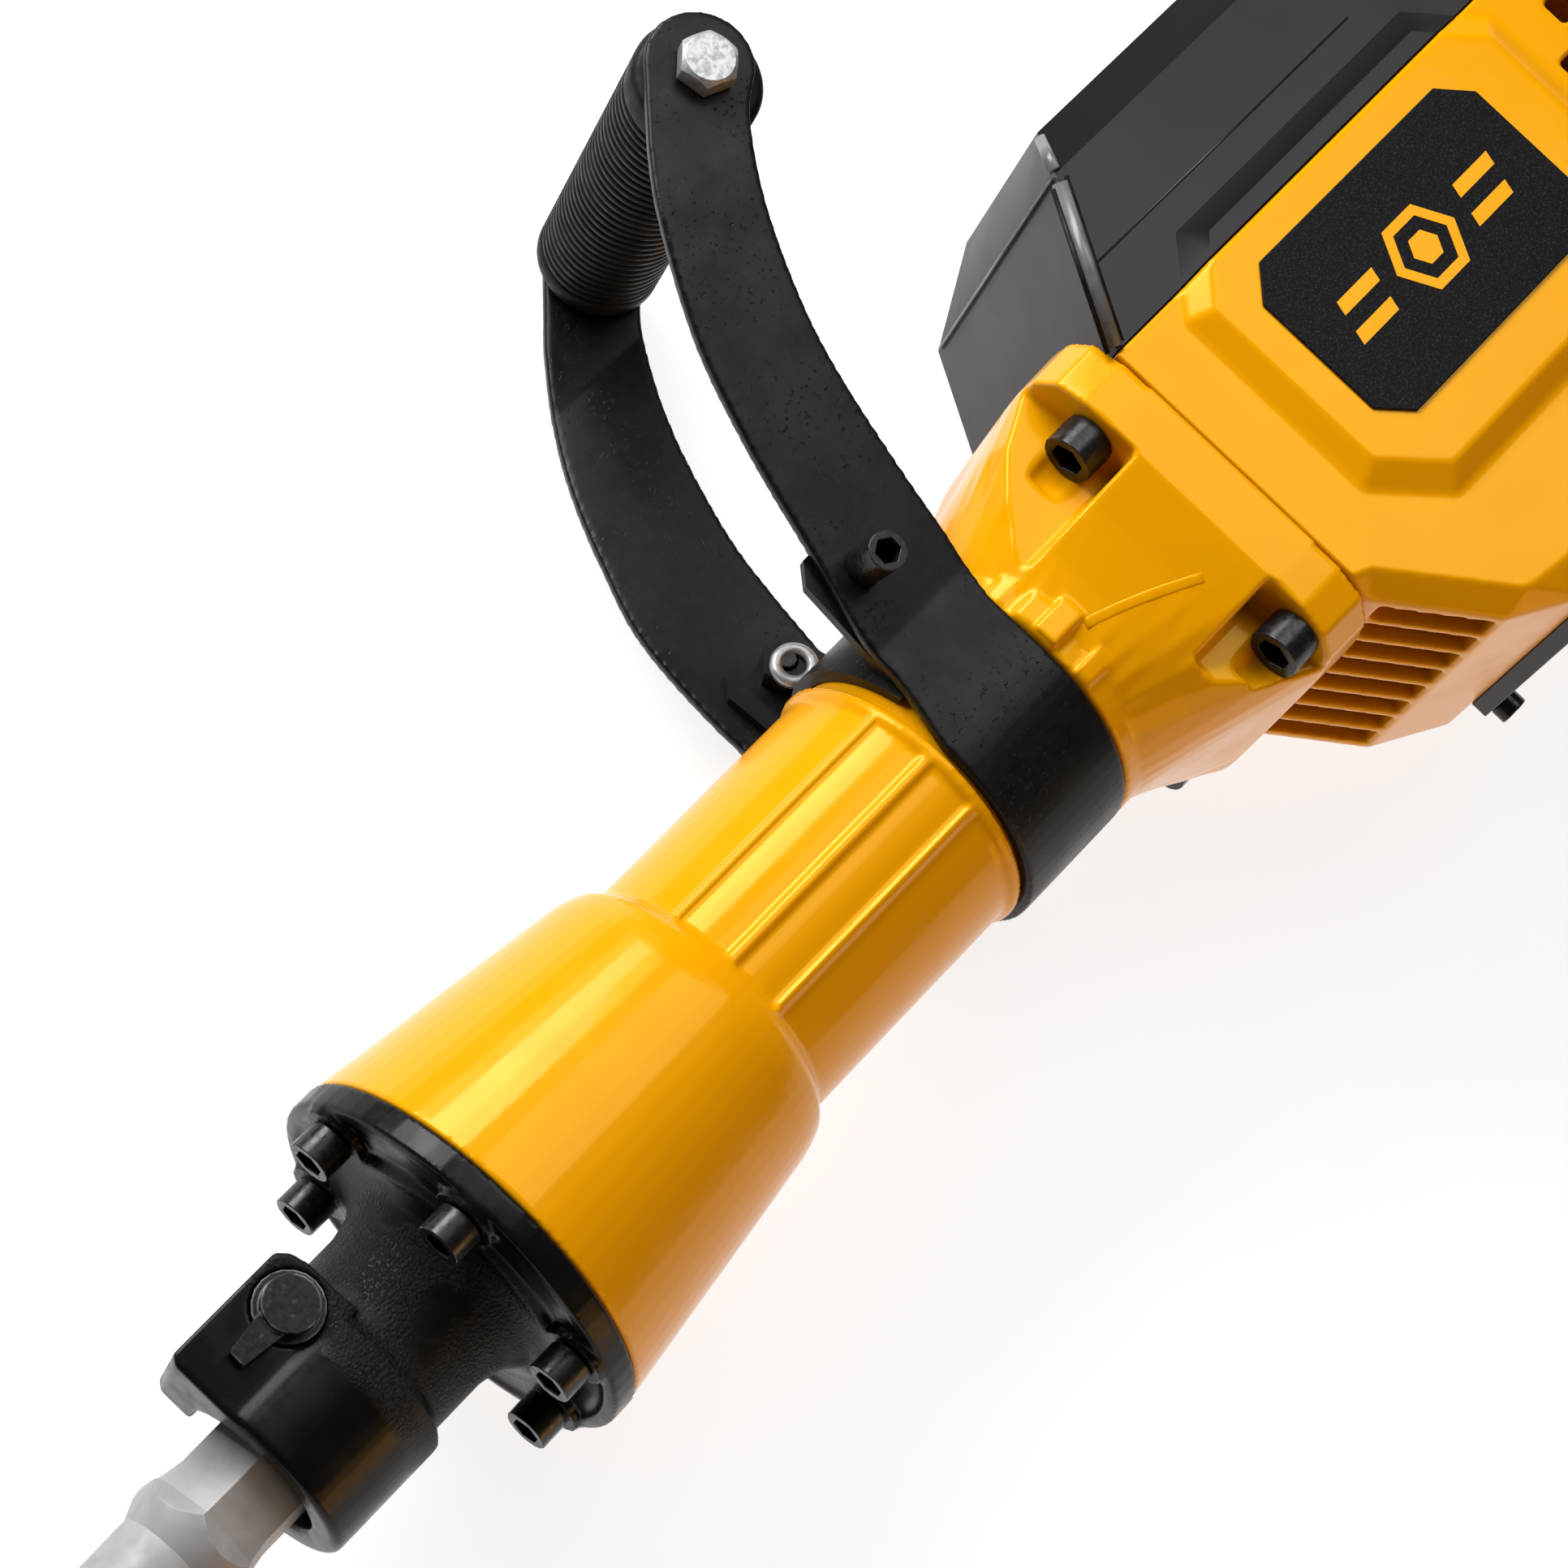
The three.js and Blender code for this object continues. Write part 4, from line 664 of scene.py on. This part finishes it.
def housing_beads():
    """Moulded beads along the black housing's front corner in painted highlight grey, dark strips of painted
    shade for the grooves beside the lower bead, and fine lines on its faces, the crease in painted highlight.
    """
    foot, bend = (*CORNER_FOOT, HOUSING_FACE), (*CORNER_BEND, HOUSING_FACE)
    lower = bar([(foot, UP_AND_FRONT), (bend, UP_AND_FRONT)], *LOWER_BEAD_SIZE)
    upper = bar([(UPPER_BEAD_FOOT, UPPER_BEAD_WAY), (UPPER_BEAD_END, UPPER_BEAD_WAY)], *UPPER_BEAD_SIZE)
    # The beads are grey: painted highlight along them.
    for name, build in (("housing_bead_lower", lower), ("housing_bead_upper", upper)):
        add_piece(name, mesh_from(name, build), "black_plastic", "case", material="painted_highlight_grey")

    # Painted shade: raised near-black strips where the grooves beside the lower bead lie in shade.
    names = ("housing_groove_shade_front", "housing_groove_shade_rear")
    for name, shift, way in zip(names, GROOVE_SHADE_SHIFTS, (UP_AND_FRONT, UP)):
        ends = [((x + shift, y, z), way) for x, y, z in (foot, bend)]
        add_piece(name, mesh_from(name, bar(ends, *GROOVE_SHADE_SIZE)), "black_rubber", "case")

    # The crease is grey: painted highlight along it.
    ends = [((*CREASE, height), CREASE_WAY) for height in (CREASE_HALF, -CREASE_HALF)]
    crease = mesh_from("housing_crease", bar(ends, *CREASE_SIZE))
    add_piece("housing_crease", crease, "black_plastic", "case", material="painted_highlight_grey")
    ends = [((*end, HOUSING_FACE), UP) for end in SIDE_LINE]
    line = mesh_from("housing_line", bar(ends, *SIDE_LINE_SIZE))
    add_piece("housing_line", line, "black_plastic", "case")


# Flash line on the funnel, seen from above in millimetres: its two ends, and the point it bends towards.
FLASH_ENDS = (Vector((235, -3)), Vector((264, -17)))
FLASH_BEND = Vector((247, -6.5))
FLASH_STEPS = 14
FLASH_WIDTH, FLASH_HEIGHT = 3.2, 0.16
ABOVE_CASE = 90                                          # a height clear of the casting


def cast_line():
    """Raised flash line that the mould left on the funnel's top, laid on the casting's own surface."""
    mesh = NODES["cylinder_case"].data
    surface = BVHTree.FromPolygons([v.co for v in mesh.vertices], [p.vertices for p in mesh.polygons])
    start, end = FLASH_ENDS
    points = []
    for i in range(FLASH_STEPS + 1):
        t = i / FLASH_STEPS
        x, y = start * (1 - t) ** 2 + FLASH_BEND * (2 * t * (1 - t)) + end * t ** 2
        hit, normal, _, _ = surface.ray_cast(at(x, y, ABOVE_CASE), Vector((0, 0, -1)))
        points.append((tuple((hit - ORIGIN) / MM), tuple(normal)))
    line = mesh_from("cast_line", bar(points, FLASH_WIDTH, FLASH_HEIGHT))
    add_piece("cast_line", line, "yellow_enamel", "case")


# The clamp's weld nuts, in millimetres.
CLAMP_SCREW = (202.0, 49.0)
NUT_TOP = 31.2                                           # inner end of the nuts, either side of the axis
ARM_LEAN = math.atan(0.1717)                             # lean of the arms that the nuts sit on
CROWN = ((-0.2, 3.5), (-0.2, 6.9), (1.2, 6.9), (2.2, 6.0), (2.2, 4.6), (1.5, 3.5))
CROWN_SIDES = 48


def clamp_nuts():
    """Bright chamfered crowns of the two weld nuts inside the clamp."""
    for name, side in (("clamp_nut_crown_near", 1), ("clamp_nut_crown_far", -1)):
        inward = Matrix.Rotation(math.pi, 4, "X") if side > 0 else Matrix.Identity(4)
        leant = Matrix.Rotation(side * ARM_LEAN, 4, "X")
        placed = Matrix.Translation(at(*CLAMP_SCREW, side * NUT_TOP)) @ leant @ inward
        crown = mesh_from(name, lathe(CROWN, CROWN_SIDES, placed))
        add_piece(name, crown, "zinc_plate", "front_handle")


# ------------------------------------------------------------------ floor and light

FLOOR_HALF = 12.0                                        # metres
FLOOR_BELOW = 0.0004                                     # metres under the model, so that they don't touch
FLOOR_GLOW = 0.82                                        # keeps the paper white where no lamp reaches


def stage():
    """Pale paper floor under the model."""
    def build(bm):
        bmesh.ops.create_grid(bm, x_segments=1, y_segments=1, size=FLOOR_HALF)

    mesh = mesh_from("floor", build)
    floor = bpy.data.objects.new("floor", mesh)
    floor.location = (0, 0, CAD_BOX[0].z - FLOOR_BELOW)
    bpy.context.scene.collection.objects.link(floor)
    s = Shader("floor_paper", (0.3, 0.3, 0.3), 0.9, specular=0.1)
    s.tint(s.remap(s.noise(40, 3), 0.4, 0.6), (0.29, 0.29, 0.29))
    s.set("Emission Color", (1, 1, 1, 1))
    s.set("Emission Strength", FLOOR_GLOW)
    mesh.materials.append(s.done())


LAMP_AIM = (200, 0, 0)                                   # millimetres: the middle of the barrel
# Lamps: direction from there, distance and size in metres, power in watts, colour.
LAMPS = {
    "key": ((0.15, 0.8, 0.6), 1.7, (1.3, 0.8), 46, (1, 1, 1)),
    "top": ((0.42, 0.12, 0.9), 1.7, (1.1, 0.8), 10, (1, 1, 1)),
    "side": ((-0.1, -0.95, 0.14), 1.6, (1.3, 0.6), 8, (1.0, 0.52, 0.14)),
}


def area_light(name, toward, distance, size, power, colour):
    """Rectangular lamp in a direction from the barrel's middle, facing it."""
    data = bpy.data.lights.new(name, "AREA")
    data.shape = "RECTANGLE"
    data.size, data.size_y = size
    data.energy = power
    data.color = colour
    lamp = bpy.data.objects.new(name, data)
    lamp.location = at(*LAMP_AIM) + Vector(toward).normalized() * distance
    lamp.rotation_mode = "QUATERNION"
    lamp.rotation_quaternion = Vector(toward).to_track_quat("Z", "Y")
    bpy.context.scene.collection.objects.link(lamp)


SKY_LIGHT = 0.08                                         # what the studio's walls add to the light
SKY_SEEN = 0.83                                          # how bright the walls look behind the floor


def studio_walls():
    """Dim even light from all round, which the camera sees as pale as the floor."""
    world = bpy.data.worlds.new("studio")
    world.use_nodes = True
    tree = world.node_tree
    background = tree.nodes["Background"]
    background.inputs["Color"].default_value = (1, 1, 1, 1)
    seen = tree.nodes.new("ShaderNodeMapRange")
    seen.inputs["To Min"].default_value = SKY_LIGHT
    seen.inputs["To Max"].default_value = SKY_SEEN
    rays = tree.nodes.new("ShaderNodeLightPath")
    tree.links.new(rays.outputs["Is Camera Ray"], seen.inputs["Value"])
    tree.links.new(seen.outputs["Result"], background.inputs["Strength"])
    bpy.context.scene.world = world


def lights():
    studio_walls()
    for name, lamp in LAMPS.items():
        area_light(name, *lamp)
    bpy.context.scene.view_settings.view_transform = "Standard"


make_camera()
dress_nodes()
grip()
badge_mark()
housing_beads()
cast_line()
clamp_nuts()
stage()
lights()
